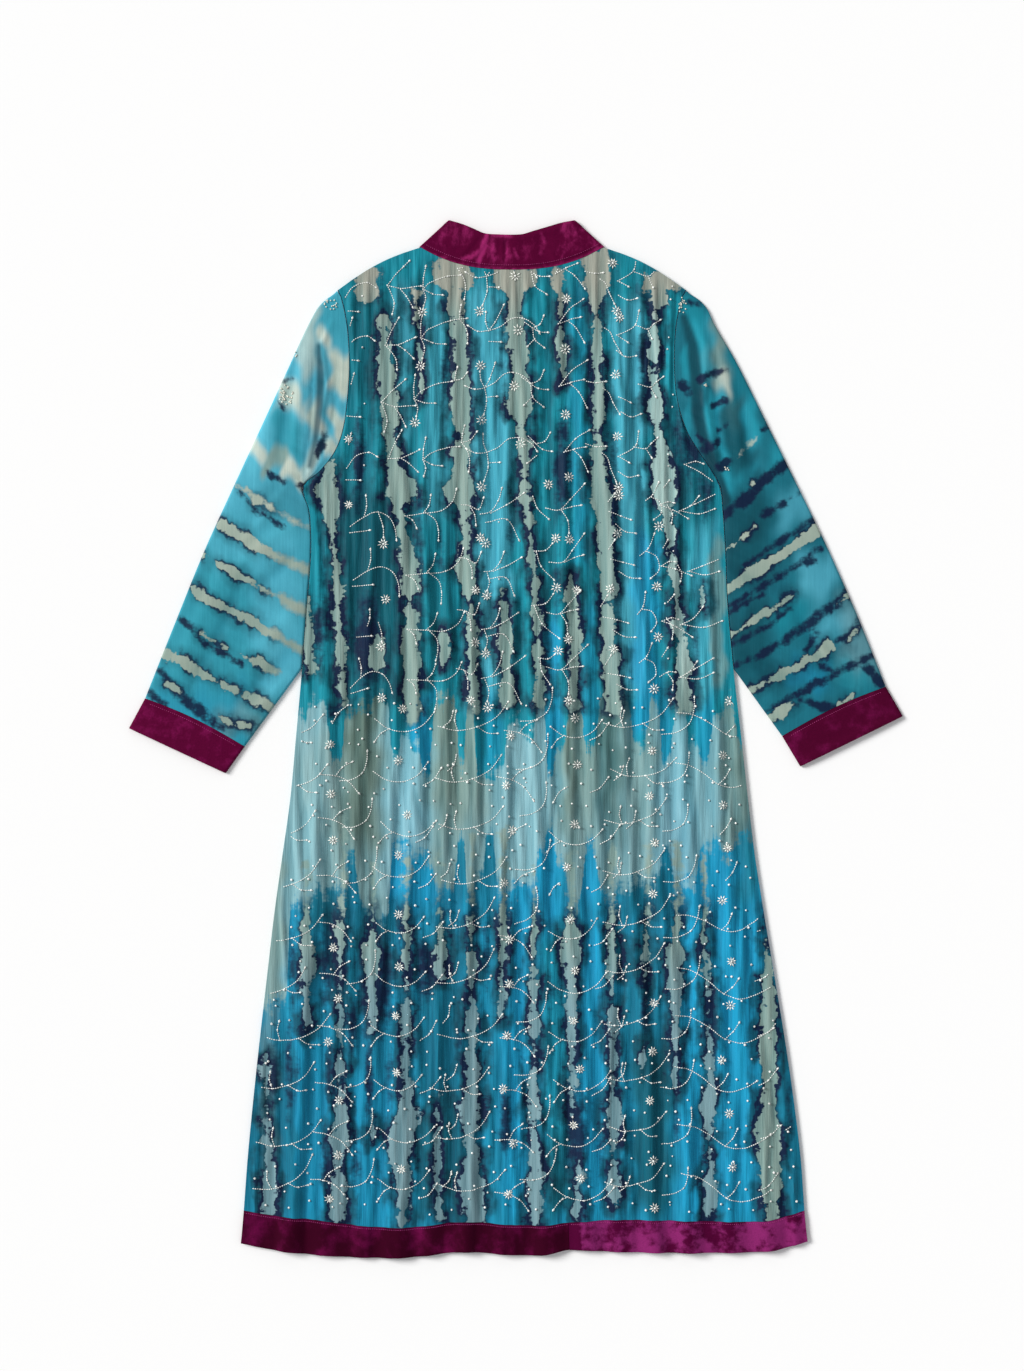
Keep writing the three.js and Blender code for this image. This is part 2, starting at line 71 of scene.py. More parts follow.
def run_along(points):
    """Distance along a line of points, from its first one to each."""
    steps = np.linalg.norm(np.diff(points, axis=0), axis=1)
    return np.concatenate([[0], np.cumsum(steps)])


def inwards(share):
    """How far a share is from the nearer end, 0 or 1."""
    return np.minimum(share, 1 - share)


def read_table(places, values, at):
    """The value at a place: cubic pieces through the rows, whose slope at a row is that from the
    row before it to the row after it."""
    places, values = np.asarray(places, float), np.asarray(values, float)
    if places[-1] < places[0]:
        places, values = places[::-1], values[::-1]
    slope = np.gradient(values, edge_order=1) / np.gradient(places, edge_order=1)
    i = np.clip(np.searchsorted(places, at, side="right") - 1, 0, len(places) - 2)
    span = places[i + 1] - places[i]
    t = (at - places[i]) / span
    curve = mix(values[i], values[i + 1], t * t * (3 - 2 * t))
    return curve + span * (slope[i] * t * (1 - t) ** 2 - slope[i + 1] * t * t * (1 - t))


# %% The chart
chart_square = 1.1 * mm
chart_middle_x, chart_middle_y = 515.9, 739


def from_chart(x, y):
    """A place on the chart, in metres."""
    right, up_from_middle = np.asarray(x) - chart_middle_x, chart_middle_y - np.asarray(y)
    return right * chart_square, up_from_middle * chart_square


def to_chart(x, y):
    """A place in metres, in squares of the chart."""
    return x / chart_square + chart_middle_x, chart_middle_y - y / chart_square


# %% [markdown]
# ## Walls from grids
#
# A sheet of cloth is two grids of points, its upper and its lower skin, joined round the edge.
# A sleeve is two loops of points for each station along it. Solidify could give the wall too,
# but with both skins worked out the underside can lie flat where the jacket rests.

# %% Mesh from points and faces
def new_piece(name, points, corners, crease_angle=50):
    """An object at the origin from an array of points and one of corners, smooth but for its
    sharp edges."""
    mesh = bpy.data.meshes.new(name)
    mesh.vertices.add(len(points))
    mesh.vertices.foreach_set("co", np.asarray(points, np.float32).ravel())
    faces, sides = corners.shape
    mesh.loops.add(faces * sides)
    mesh.loops.foreach_set("vertex_index", np.asarray(corners, np.int32).ravel())
    mesh.polygons.add(faces)
    mesh.polygons.foreach_set("loop_start", np.arange(0, faces * sides, sides, dtype=np.int32))
    mesh.update(calc_edges=True)
    mesh.shade_smooth()
    mesh.set_sharp_from_angle(angle=np.radians(crease_angle))
    piece = bpy.data.objects.new(name, mesh)
    bpy.context.scene.collection.objects.link(piece)
    return piece


def grid_quads(number, close=False):
    """Corners of the quads between neighbouring points of a grid of numbered points. They face
    up where rows run away from the reader and columns to the right."""
    if close:
        number = np.concatenate([number, number[:, :1]], axis=1)
    quads = [number[:-1, :-1], number[1:, :-1], number[1:, 1:], number[:-1, 1:]]
    return np.stack(quads, axis=-1).reshape(-1, 4)


def sheet_wall(name, upper, lower):
    """A closed wall between two grids of points, first row furthest up, columns left to right."""
    rows, columns = upper.shape[:2]
    top = np.arange(rows * columns).reshape(rows, columns)
    under = top + rows * columns
    border = np.concatenate([top[0], top[1:, -1], top[-1, -2::-1], top[-2:0:-1, 0]])
    rim = np.stack([border, border + rows * columns])
    corners = [grid_quads(top), grid_quads(under)[:, ::-1], grid_quads(rim, close=True)[:, ::-1]]
    points = np.concatenate([upper.reshape(-1, 3), lower.reshape(-1, 3)])
    return new_piece(name, points, np.concatenate(corners))


def tube_wall(name, outer, inner, mirrored):
    """A wall open at both ends, from an outer and an inner loop of points at each station."""
    stations, around = outer.shape[:2]
    out = np.arange(stations * around).reshape(stations, around)
    into = out + stations * around
    first = np.stack([out[0], into[0]])
    last = np.stack([into[-1], out[-1]])
    corners = np.concatenate(
        [grid_quads(out, True), grid_quads(into, True)[:, ::-1], grid_quads(first, True)[:, ::-1]]
        + [grid_quads(last, True)[:, ::-1]]
    )
    points = np.concatenate([outer.reshape(-1, 3), inner.reshape(-1, 3)])
    return new_piece(name, points, corners[:, ::-1] if mirrored else corners)


def stack(x, y, z):
    """Three grids of coordinates as one grid of points."""
    return np.stack(np.broadcast_arrays(x, y, z), axis=-1)


def give(piece, name, values):
    """Stores a number, or a colour, at each point of a piece, for its material to read. A stored
    colour has a fourth number, 1."""
    kind, field = "FLOAT", "value"
    if values.ndim == 2:
        kind, field = "FLOAT_COLOR", "color"
        values = np.concatenate([values, np.ones((len(values), 1))], axis=1)
    layer = piece.data.attributes.new(name, kind, "POINT")
    layer.data.foreach_set(field, np.asarray(values, np.float32).ravel())


def points_of(piece):
    """A piece's points, one in each row."""
    flat = np.empty(len(piece.data.vertices) * 3, np.float32)
    piece.data.vertices.foreach_get("co", flat)
    return flat.reshape(-1, 3).astype(float)


# %% [markdown]
# ## The cut of the body
#
# The back hangs from two bowed shoulders and the neck's curve, is hollowed at the armholes and
# widens to the hem. These are the measures that the rigid panels have, so the cloth covers them.

# %% Body outline
silk, velvet = 1.3 * mm, 1.6 * mm
seam_gap, layer_gap = 0.3 * mm, 1.2 * mm
shoulder_level, underarm_level, part_level, hem_level = 493 * mm, 278 * mm, 77 * mm, -518 * mm

body_sections = mm * np.array([
    # level, left edge, right edge
    (493, -196, 187), (484, -191.5, 182), (451, -185, 175.5), (412, -183, 174), (374, -185, 177),
    (340, -190, 187), (316, -199, 201), (295, -215, 215), (278, -234, 224), (251, -227, 227),
    (206, -225, 230), (153, -229, 232), (77, -235, 239), (-2, -242, 248), (-66, -248, 255),
    (-131, -257, 263), (-188, -265, 272), (-248, -272, 282), (-353, -284, 299), (-452, -294, 312),
    (-518, -299, 317),
])
hem_line = np.array([
    # across, drop of the band's seam, drop of its lower edge, in mm below the hem level
    (0, 0, 36), (0.05, 5, 42), (0.13, 10, 48), (0.22, 17, 51.2), (0.3, 18, 51), (0.39, 12, 45),
    (0.47, 15, 48), (0.53, 16, 48.5), (0.58, 13, 43), (0.66, 10, 45), (0.8, 11, 46),
    (0.93, 11, 44), (1, 0, 34),
])
edge_pull, shoulder_fade, hem_fade, shoulder_bow = 0.17, 3, 6, 6 * mm
neck_middle, neck_half_width, neck_point_level = -4.5 * mm, 100 * mm, 540.5 * mm
back_neck, front_neck = (24.5 * mm, 2.5), (80 * mm, 2.2)


def down_body(level):
    """Share of the way from the shoulders to the hem."""
    return (shoulder_level - level) / (shoulder_level - hem_level)


def body_edge(side, level):
    """X of the body's left (1) or right (2) edge at a level."""
    return read_table(body_sections[:, 0], body_sections[:, side], level)


def grain_edge(side, level):
    """The straight line that the cloth keeps to inside an armhole, and the side's edge below."""
    share = (shoulder_level - level) / (shoulder_level - part_level)
    line = mix(body_sections[0, side], body_edge(side, part_level), share)
    return np.where(level < part_level, body_edge(side, level), line)


def body_x(across, level):
    """X at a place of the body: straight across between the grain lines, and next to the edges
    the armhole's curve is added, fading with the square of the distance."""
    x = mix(grain_edge(1, level), grain_edge(2, level), across)
    for side, share in ((1, across), (2, 1 - across)):
        pulled = np.maximum(0, 1 - share / edge_pull) ** 2
        x = x + (body_edge(side, level) - grain_edge(side, level)) * pulled
    return x


def dip(top, curve, t):
    """A level that falls from top at t = -1 and 1 by the curve's depth at t = 0."""
    depth, squareness = curve
    return top - depth * (1 - np.abs(t) ** squareness)


def top_edge(x, neck):
    """Level of a panel's upper edge: bowed shoulders, and the neck's curve between them."""
    t = (x - neck_middle) / neck_half_width
    seam = dip(neck_point_level, neck, np.clip(t, -1, 1))
    slope = neck[0] * neck[1] * np.minimum(np.abs(t), 1) ** (neck[1] - 1) / neck_half_width
    tip = np.where(t < 0, body_sections[0, 1], body_sections[0, 2])
    up = (x - tip) / (neck_middle + np.sign(t) * neck_half_width - tip)
    shoulder = mix(shoulder_level, neck_point_level - seam_gap, up)
    shoulder = shoulder + shoulder_bow * np.sin(np.pi * up)
    return np.where(np.abs(t) < 1, seam - seam_gap * np.hypot(1, slope), shoulder)


def body_place(across, level, neck=back_neck):
    """X and Y of a place of the body: rows follow the upper edge near the shoulders, and the
    hem's line near the hem."""
    down = down_body(level)
    rise = top_edge(mix(body_sections[0, 1], body_sections[0, 2], across), neck) - shoulder_level
    drop = read_table(hem_line[:, 0], hem_line[:, 1], across) * mm
    y = level + rise * (1 - down) ** shoulder_fade - drop * down ** hem_fade
    return body_x(across, level), y


level_tries, across_tries = 8, 3


def body_share(x, y):
    """The place (across, level) that lies at (x, y): the level is corrected by how far its row
    misses y, again and again."""
    level = np.array(y, float)
    for _ in range(level_tries):
        left, right = body_x(0.0, level), body_x(1.0, level)
        across = np.clip((x - left) / (right - left), 0, 1)
        for _ in range(across_tries):
            across = across - (body_x(across, level) - x) / (right - left)
        across = np.clip(across, 0, 1)
        level = np.clip(level + y - body_place(across, level)[1], hem_level, shoulder_level)
    return across, level


# %% [markdown]
# ## Folds and creases of the back
#
# The back lies in soft folds that run down from the neck and fan out to the hem. Between them
# the silk is crinkled along its length: it was washed and dried in a twist. Three scales are
# added up: the folds of the cut, listed creases, and fine crinkles. Cloth simulation
# gives less control over where a fold falls, so the height is a formula here.

# %% Folds of the cut
back_folds = [
    # trough, crest (across, at the shoulders), drift to the hem, rise in mm, where it starts
    (0.004, 0.034, 0.05, 6, 0.36), (0.115, 0.15, 0, 3.5, 0.06), (0.19, 0.215, 0, 3, 0.2),
    (0.24, 0.275, 0, 5, 0.03), (0.31, 0.335, 0, 3.5, 0.1), (0.365, 0.395, 0, 5.5, 0.03),
    (0.43, 0.465, 0, 4, 0.08), (0.505, 0.54, 0, 5, 0.04), (0.579, 0.61, 0, 4.5, 0.12),
    (0.64, 0.665, 0, 3, 0.05), (0.7, 0.73, 0, 5, 0.1), (0.758, 0.79, 0, 6, 0.04),
    (0.83, 0.865, 0, 3.5, 0.15), (0.9, 0.93, 0, 4.5, 0.3), (0.965, 0.98, 0, 2, 0.5),
]
fold_fade_in, edge_share = 0.16, 0.03


def fold_height(across, down):
    """Height of the back's lower face: each fold is half a cosine wave up to its crest and half
    a wave down to the next trough."""
    height = mix(velvet + seam_gap, silk + layer_gap, smooth_step(0, edge_share, inwards(across)))
    starts = [fold[0] + fold[2] * down for fold in back_folds] + [1 + 0 * down]
    for (_, crest, drift, rise, begin), left, right in zip(back_folds, starts, starts[1:]):
        top = crest + drift * down
        up_side, down_side = (top - across) / (top - left), (across - top) / (right - top)
        off = np.where(across < top, up_side, down_side)
        wave = (1 + np.cos(np.pi * np.clip(off, 0, 1))) / 2
        height = height + rise * mm * wave * smooth_step(begin, begin + fold_fade_in, down)
    return height


# %% Listed creases
def along_line(x, y, line):
    """Distance from a line of chart places, and the share of the way along it, at each point."""
    line = np.asarray(line, float)
    nearest, share = np.full(np.shape(x), 1e9), np.zeros(np.shape(x))
    before = run_along(line)
    for (ax, ay), (bx, by), start, length in zip(line, line[1:], before, np.diff(before)):
        t = np.clip(((x - ax) * (bx - ax) + (y - ay) * (by - ay)) / length**2, 0, 1)
        off = np.hypot(x - ax - t * (bx - ax), y - ay - t * (by - ay))
        closer = off < nearest
        nearest = np.where(closer, off, nearest)
        share = np.where(closer, (start + t * length) / before[-1], share)
    return nearest, share


crease_fading = 0.6


def crease_height(x, y, creases):
    """Sum of soft troughs and ridges on the chart: a bell across each line, whose height swells
    and fades along it."""
    height = np.zeros(np.shape(x))
    for line, half_width, rise in creases:
        off, share = along_line(x, y, line)
        height += rise * mm * bell(off, 0, half_width) * np.sin(np.pi * share) ** crease_fading
    return height


back_creases = [
    # line on the chart, half width in squares, rise in mm
    ([(363, 285), (366, 420), (360, 560), (362, 700)], 4, -1.1),
    ([(352, 470), (345, 600), (333, 700)], 6, 1.0),
    ([(400, 290), (402, 420), (398, 600), (396, 760)], 5, 0.9),
    ([(413, 285), (416, 400), (421, 560), (424, 700)], 4, -1.3),
    ([(431, 275), (434, 430), (438, 620), (440, 800)], 7, 1.0),
    ([(447, 300), (449, 430), (452, 600), (455, 760)], 3.5, -1.2),
    ([(481, 285), (484, 430), (489, 620), (490, 800)], 5, 0.9),
    ([(497, 290), (499, 450), (505, 620), (508, 780)], 3, -1.1),
    ([(505, 300), (507, 450), (513, 620), (517, 800)], 3.5, 1.0),
    ([(548, 290), (550, 450), (556, 620), (558, 820)], 3, -1.2),
    ([(560, 280), (563, 420), (566, 600), (570, 760)], 4, 1.0),
    ([(585, 285), (588, 430), (590, 600), (596, 800)], 3.5, -1.0),
    ([(628, 290), (630, 430), (640, 620), (646, 780)], 3.5, -1.2),
    ([(640, 290), (643, 430), (652, 620), (660, 760)], 4.5, 1.0),
    ([(672, 300), (676, 430), (690, 560), (697, 700)], 3.5, -1.2),
    ([(700, 470), (706, 560), (712, 680), (718, 800)], 4, 1.1),
    ([(320, 800), (330, 830), (341, 845)], 3.5, -1.3),
    ([(303, 790), (316, 815), (330, 842)], 4, 0.9),
    ([(414, 785), (421, 812), (429, 842)], 3, -1.5),
    ([(407, 790), (414, 815), (421, 850)], 3.5, 1.0),
    ([(300, 860), (299, 980), (297, 1080), (298, 1180)], 4.5, 1.6),
    ([(289, 850), (287, 980), (286, 1080), (287, 1180)], 3.5, -1.5),
    ([(330, 900), (327, 1020), (322, 1120), (320, 1210)], 4, -1.2),
    ([(357, 880), (356, 1000), (352, 1110), (350, 1215)], 5, 1.2),
    ([(388, 900), (386, 1010), (384, 1120), (383, 1218)], 4, -1.2),
    ([(425, 880), (424, 1000), (422, 1120), (421, 1218)], 5, 1.1),
    ([(452, 900), (455, 1010), (453, 1120), (452, 1218)], 3.5, -1.3),
    ([(488, 880), (488, 1010), (486, 1120), (486, 1218)], 5, 1.1),
    ([(520, 890), (519, 1010), (518, 1120), (518, 1218)], 3.5, -1.1),
    ([(553, 880), (556, 1000), (558, 1110), (559, 1214)], 5, 1.2),
    ([(590, 890), (592, 1010), (594, 1120), (596, 1214)], 4, -1.2),
    ([(640, 880), (644, 1000), (646, 1110), (650, 1214)], 5, 1.0),
    ([(658, 880), (660, 1000), (664, 1120), (668, 1214)], 3.5, -1.3),
    ([(690, 880), (695, 1000), (697, 1110), (700, 1214)], 4.5, 1.0),
    ([(726, 880), (733, 1000), (738, 1110), (742, 1214)], 5, 1.3),
    ([(748, 900), (752, 1010), (757, 1120), (762, 1212)], 4, -1.4),
    ([(779, 1000), (783, 1080), (787, 1150), (790, 1208)], 4, 1.2),
]
print(len(back_creases), "creases are placed by hand on the back")

# %% Fine crinkles
crinkle_rng = np.random.default_rng(7)
crinkle_count = 34
crinkle_wave = crinkle_rng.uniform(7.5, 24, crinkle_count) * mm
crinkle_run = crinkle_rng.uniform(130, 520, crinkle_count) * mm
crinkle_run = crinkle_run * crinkle_rng.choice([-1, 1], crinkle_count)
crinkle_phase = crinkle_rng.uniform(0, 2 * np.pi, (2, crinkle_count))
crinkle_table = list(zip(crinkle_wave, crinkle_run, *crinkle_phase, 0.02 * crinkle_wave))


def crinkle_height(x, y):
    """Sum of long shallow waves: each runs nearly straight down the cloth, and swells and fades
    along its length."""
    height = np.zeros(np.shape(x))
    for wave, run, phase, swell, depth in crinkle_table:
        ridge = np.sin(2 * np.pi * (x / wave + y / run) + phase)
        swelling = np.sin(2 * np.pi * y / (0.6 * run) + x / (3 * wave) + swell)
        height += depth * ridge * (0.55 + 0.45 * swelling)
    return height


side_fade, lift_strength, deepest_share = 0.02, 1.15, 0.9


def back_lift(across, level):
    """Everything that the creases and crinkles add to the folds; it fades out at the seams."""
    chart = to_chart(*body_place(across, level))
    down = down_body(level)
    inside = smooth_step(0, side_fade, inwards(across)) * mix(0.25, 1, smooth_step(0, 0.03, down))
    inside = inside * mix(0.5, 1, smooth_step(0, 0.02, 1 - down))
    lift = crease_height(*chart, back_creases) + crinkle_height(*from_chart(*chart))
    return inside * np.maximum(lift_strength * lift, -deepest_share * layer_gap)


# %% [markdown]
# ## Dye
#
# Shibori is dyed in steps: the silk is pleated and bound, so the dye is kept from the pleats and
# leaves pale stripes with scalloped edges, and a second, dark dye creeps in round them. Each
# stripe is a line with a half width at each place. What the material needs is the distance from
# the stripe's edge, which is smooth; it then roughens that edge with noise, much finer than the
# mesh. Painting an image would do it too, but it would blur close up.

# %% Dye colours
def dyed(code):
    """A colour from its six-figure code, in the linear light that materials use."""
    share = np.array([int(code[i : i + 2], 16) for i in (0, 2, 4)]) / 255
    return np.where(share <= 0.04045, share / 12.92, ((share + 0.055) / 1.055) ** 2.4)


dye = {
    name: dyed(code)
    for name, code in {
        "turquoise": "168EA0", "blue": "188EB2", "bright": "1A9CC8", "deep": "08505E",
        "navy": "08193A", "ink": "073A48", "sage": "8EA398", "mist": "88B5BD", "sky": "9AC8D2",
        "olive": "55695E",
        "teal": "1A7284", "cream": "D2D6C4", "grey": "8CA9A6", "aqua": "60C0D8", "lagoon": "259DB2",
        "bare": "8BA49D", "warm_bare": "A2A498", "cool_bare": "7899A1", "light_bare": "A9C6C2",
    }.items()
}


def tinted(colour, name, share):
    """Colours moved towards a dye by a share at each point."""
    return mix(colour, dye[name], share[..., None])


# %% Fields of the dye
far_outside = -99.0


def stripe_field(x, y, stripes):
    """Distance inside the nearest stripe's edge, in squares: half width less the distance from
    its line, so it is negative outside."""
    field = np.full(np.shape(x), far_outside)
    for stripe in stripes:
        line = np.array(stripe, float)
        for (ax, ay, aw), (bx, by, bw) in zip(line, line[1:]):
            length = max(np.hypot(bx - ax, by - ay), 1e-6)
            t = np.clip(((x - ax) * (bx - ax) + (y - ay) * (by - ay)) / length**2, 0, 1)
            off = np.hypot(x - ax - t * (bx - ax), y - ay - t * (by - ay))
            field = np.maximum(field, mix(aw, bw, t) - off)
    return field


def patch_field(x, y, patches):
    """The same for patches, given by their left, top, right and bottom: the distance inside a
    rectangle with rounded corners."""
    field = np.full(np.shape(x), far_outside)
    for left, top, right, bottom in patches:
        round_by = 0.4 * min(right - left, bottom - top)
        dx = np.abs(x - (left + right) / 2) - (right - left) / 2 + round_by
        dy = np.abs(y - (top + bottom) / 2) - (bottom - top) / 2 + round_by
        outside = np.hypot(np.maximum(dx, 0), np.maximum(dy, 0)) + np.minimum(np.maximum(dx, dy), 0)
        field = np.maximum(field, round_by - outside)
    return field


def wash(colour, x, y, washes):
    """Lays washes of colour over a colour: dye, and in the pale band also painted light and shade
    of its folds. Each is a soft rectangle (left, top, right, bottom), with the width of its soft
    edge, its dye and its strength. Sine waves make the edges wander."""
    wander_x = 3 * np.sin(y / 11 + x / 37), 1.5 * np.sin(y / 4.7 + 1.3)
    wander_y = 6 * np.sin(x / 6.3 + 0.6), 3 * np.sin(x / 3.1 + y / 60)
    x, y = x + wander_x[0] + wander_x[1], y + wander_y[0] + wander_y[1]
    for left, top, right, bottom, soft, name, strength in washes:
        inside = smooth_step(-soft, soft, x - left) * smooth_step(-soft, soft, right - x)
        inside = inside * smooth_step(-2 * soft, 2 * soft, y - top)
        inside = inside * smooth_step(-2 * soft, 2 * soft, bottom - y)
        colour = tinted(colour, name, strength * inside)
    return colour


# %% The back's pale stripes
back_stripes = [
    # (x, y, half width) down each stripe
    [(383, 320, 5), (385, 360, 8), (386, 380, 9), (389, 400, 10), (390, 420, 8), (389, 435, 4),
     (392, 450, 8), (395, 470, 8), (400, 490, 17), (398, 510, 3), (402, 530, 5), (410, 570, 10),
     (410, 590, 9), (410, 600, 3), (412, 620, 8), (410, 650, 10), (412, 680, 8), (413, 715, 8)],
    [(416, 292, 6), (418, 320, 2), (420, 350, 1), (421, 385, 3), (421, 400, 0)],
    [(455, 300, 10), (458, 320, 6), (460, 340, 8), (461, 360, 7), (461, 380, 9), (460, 400, 12),
     (462, 420, 10), (464, 440, 5), (462, 453, 12), (462, 470, 8), (460, 490, 16), (465, 515, 4),
     (466, 535, 6), (465, 558, 3), (466, 570, 12), (469, 590, 7), (470, 600, 2), (471, 620, 6),
     (472, 635, 7), (473, 645, 3), (473, 655, 6), (473, 680, 5), (475, 710, 5)],
    [(514, 290, 12), (514, 300, 8), (514, 310, 5), (515, 325, 9), (517, 345, 10), (520, 360, 8),
     (521, 390, 10), (521, 405, 14), (523, 425, 4), (523, 445, 9), (525, 465, 3), (525, 495, 7),
     (532, 545, 2), (534, 570, 4), (535, 585, 4), (535, 600, 2), (536, 615, 7), (537, 640, 3),
     (538, 655, 6), (540, 670, 3), (540, 705, 6)],
    [(558, 275, 7), (560, 300, 3), (560, 320, 1), (562, 350, 5), (563, 370, 2), (562, 390, 1)],
    [(571, 575, 2), (571, 585, 4), (571, 600, 6), (575, 640, 6), (573, 655, 5), (574, 705, 6)],
    [(605, 250, 6), (598, 270, 13), (597, 285, 12), (595, 300, 6), (594, 310, 3), (597, 345, 5),
     (597, 370, 4), (599, 405, 8), (598, 430, 3), (597, 450, 8), (600, 480, 8), (602, 500, 12),
     (604, 520, 8), (605, 545, 8), (608, 590, 9), (606, 600, 4), (607, 620, 7), (608, 640, 5),
     (611, 655, 9), (613, 705, 9)],
    [(658, 290, 10), (658, 300, 8), (655, 315, 3), (654, 330, 5), (654, 370, 5), (654, 385, 3),
     (655, 408, 8), (657, 430, 4), (662, 460, 9), (664, 490, 12), (667, 510, 7), (669, 530, 5),
     (672, 565, 2), (675, 580, 5), (676, 605, 2), (678, 620, 7), (679, 635, 4), (683, 665, 9),
     (682, 675, 5), (683, 705, 10)],
    [(330, 462, 4), (328, 490, 12), (332, 520, 6), (333, 535, 3), (337, 570, 5), (338, 590, 6),
     (338, 605, 4), (336, 620, 5), (340, 640, 5), (342, 660, 5), (343, 680, 3), (344, 705, 4)],
    [(308, 600, 3), (308, 612, 5), (308, 650, 6), (311, 668, 7)], [(378, 640, 7), (377, 662, 9)],
    [(445, 638, 6), (445, 662, 5)], [(503, 592, 3), (505, 640, 8), (507, 665, 5), (508, 700, 8)],
    [(701, 588, 1), (702, 600, 3), (702, 608, 1)],
    # below the broad pale band
    [(344, 880, 6), (342, 910, 4), (340, 950, 4), (341, 975, 1)],
    [(307, 925, 5), (307, 945, 8), (308, 962, 8), (307, 980, 5), (307, 1000, 4), (307, 1015, 5),
     (306, 1032, 1)],
    [(340, 990, 1), (340, 1002, 3), (341, 1025, 4), (341, 1045, 1), (341, 1065, 6), (340, 1090, 3),
     (341, 1110, 6), (340, 1135, 10), (339, 1150, 8), (340, 1165, 3), (340, 1187, 8),
     (338, 1215, 8)],
    [(373, 925, 3), (372, 950, 10), (372, 968, 9), (372, 985, 3), (372, 1000, 6), (372, 1015, 5),
     (372, 1032, 1)],
    [(372, 1115, 1), (372, 1128, 3), (371, 1140, 1)],
    [(407, 915, 6), (407, 950, 5), (408, 970, 2), (407, 1000, 4), (407, 1025, 6), (407, 1045, 4),
     (407, 1072, 4), (407, 1105, 8), (408, 1120, 14), (400, 1140, 14), (400, 1165, 10),
     (405, 1187, 8), (402, 1220, 5)],
    [(440, 915, 5), (441, 940, 4), (441, 955, 8), (441, 970, 6), (441, 985, 1)],
    [(441, 1092, 0), (437, 1100, 2), (438, 1200, 4), (440, 1218, 5)],
    [(472, 890, 4), (472, 930, 2), (472, 970, 4), (472, 990, 2), (472, 1010, 6), (472, 1030, 8),
     (472, 1045, 6), (472, 1065, 8), (472, 1085, 5), (470, 1105, 12), (470, 1140, 5),
     (473, 1165, 9), (472, 1182, 13), (474, 1220, 10)],
    [(504, 890, 7), (502, 930, 5), (502, 950, 6), (502, 968, 2), (502, 985, 3), (502, 1000, 5),
     (502, 1018, 1)],
    [(534, 925, 2), (534, 940, 3), (534, 962, 2), (534, 985, 6), (534, 1000, 2), (534, 1020, 6),
     (534, 1035, 3), (534, 1055, 2), (534, 1075, 5), (534, 1092, 3), (534, 1110, 7), (534, 1130, 3),
     (534, 1150, 6), (536, 1180, 9), (536, 1218, 6)],
    [(571, 915, 6), (571, 930, 8), (571, 950, 10), (571, 975, 4), (571, 1000, 7), (571, 1022, 3),
     (571, 1045, 4), (571, 1080, 4), (571, 1100, 3), (571, 1115, 1)],
    [(578, 1160, 2), (580, 1175, 6), (578, 1190, 2), (578, 1205, 6), (577, 1216, 3)],
    [(612, 905, 6), (612, 935, 5), (612, 970, 6), (612, 985, 2), (612, 1000, 2), (612, 1020, 6),
     (612, 1040, 3), (612, 1060, 5), (613, 1085, 3), (613, 1105, 8), (613, 1122, 8), (613, 1155, 3),
     (614, 1183, 8), (615, 1205, 3)],
    [(648, 905, 5), (646, 935, 3), (645, 962, 4), (645, 985, 2)],
    [(643, 1040, 1), (643, 1060, 2), (643, 1075, 1)],
    [(677, 905, 7), (675, 940, 5), (675, 955, 10), (675, 970, 8), (675, 990, 8), (675, 1010, 3),
     (675, 1030, 5), (675, 1055, 3), (675, 1075, 3), (675, 1090, 1)],
    [(704, 915, 4), (703, 945, 3), (706, 970, 4), (707, 985, 3), (708, 1010, 1), (709, 1040, 1),
     (709, 1060, 5), (709, 1085, 4), (709, 1105, 9), (709, 1122, 5), (709, 1142, 4), (710, 1160, 2),
     (711, 1188, 8), (707, 1215, 3)],
    [(766, 940, 3), (768, 960, 4), (768, 985, 6), (768, 1010, 8), (768, 1040, 9), (768, 1070, 6),
     (768, 1100, 8), (768, 1140, 13), (770, 1170, 12), (771, 1192, 10), (772, 1216, 7)],
    [(266, 1055, 3), (266, 1070, 5), (267, 1100, 2), (268, 1150, 5), (270, 1180, 8),
     (268, 1212, 7)],
]


def drawn_out(stripe, length=60):
    """A stripe of the skirt drawn out upwards, narrower, into the pale band."""
    x, y, half = stripe[0]
    tip = [(x, y - length, 0.8 * half), (x, y - length / 3, 0.4 * half)]
    return [*tip, (x, y, 0.6 * half), *stripe[1:]]


under_band = lambda stripe: 860 < stripe[0][1] < 960
back_stripes = [drawn_out(one) if under_band(one) else one for one in back_stripes]
back_patches = [
    (355, 266, 380, 304), (433, 258, 474, 290), (494, 266, 534, 291), (583, 250, 612, 292),
    (640, 272, 680, 293),
]
print(len(back_stripes), "pale stripes on the back")

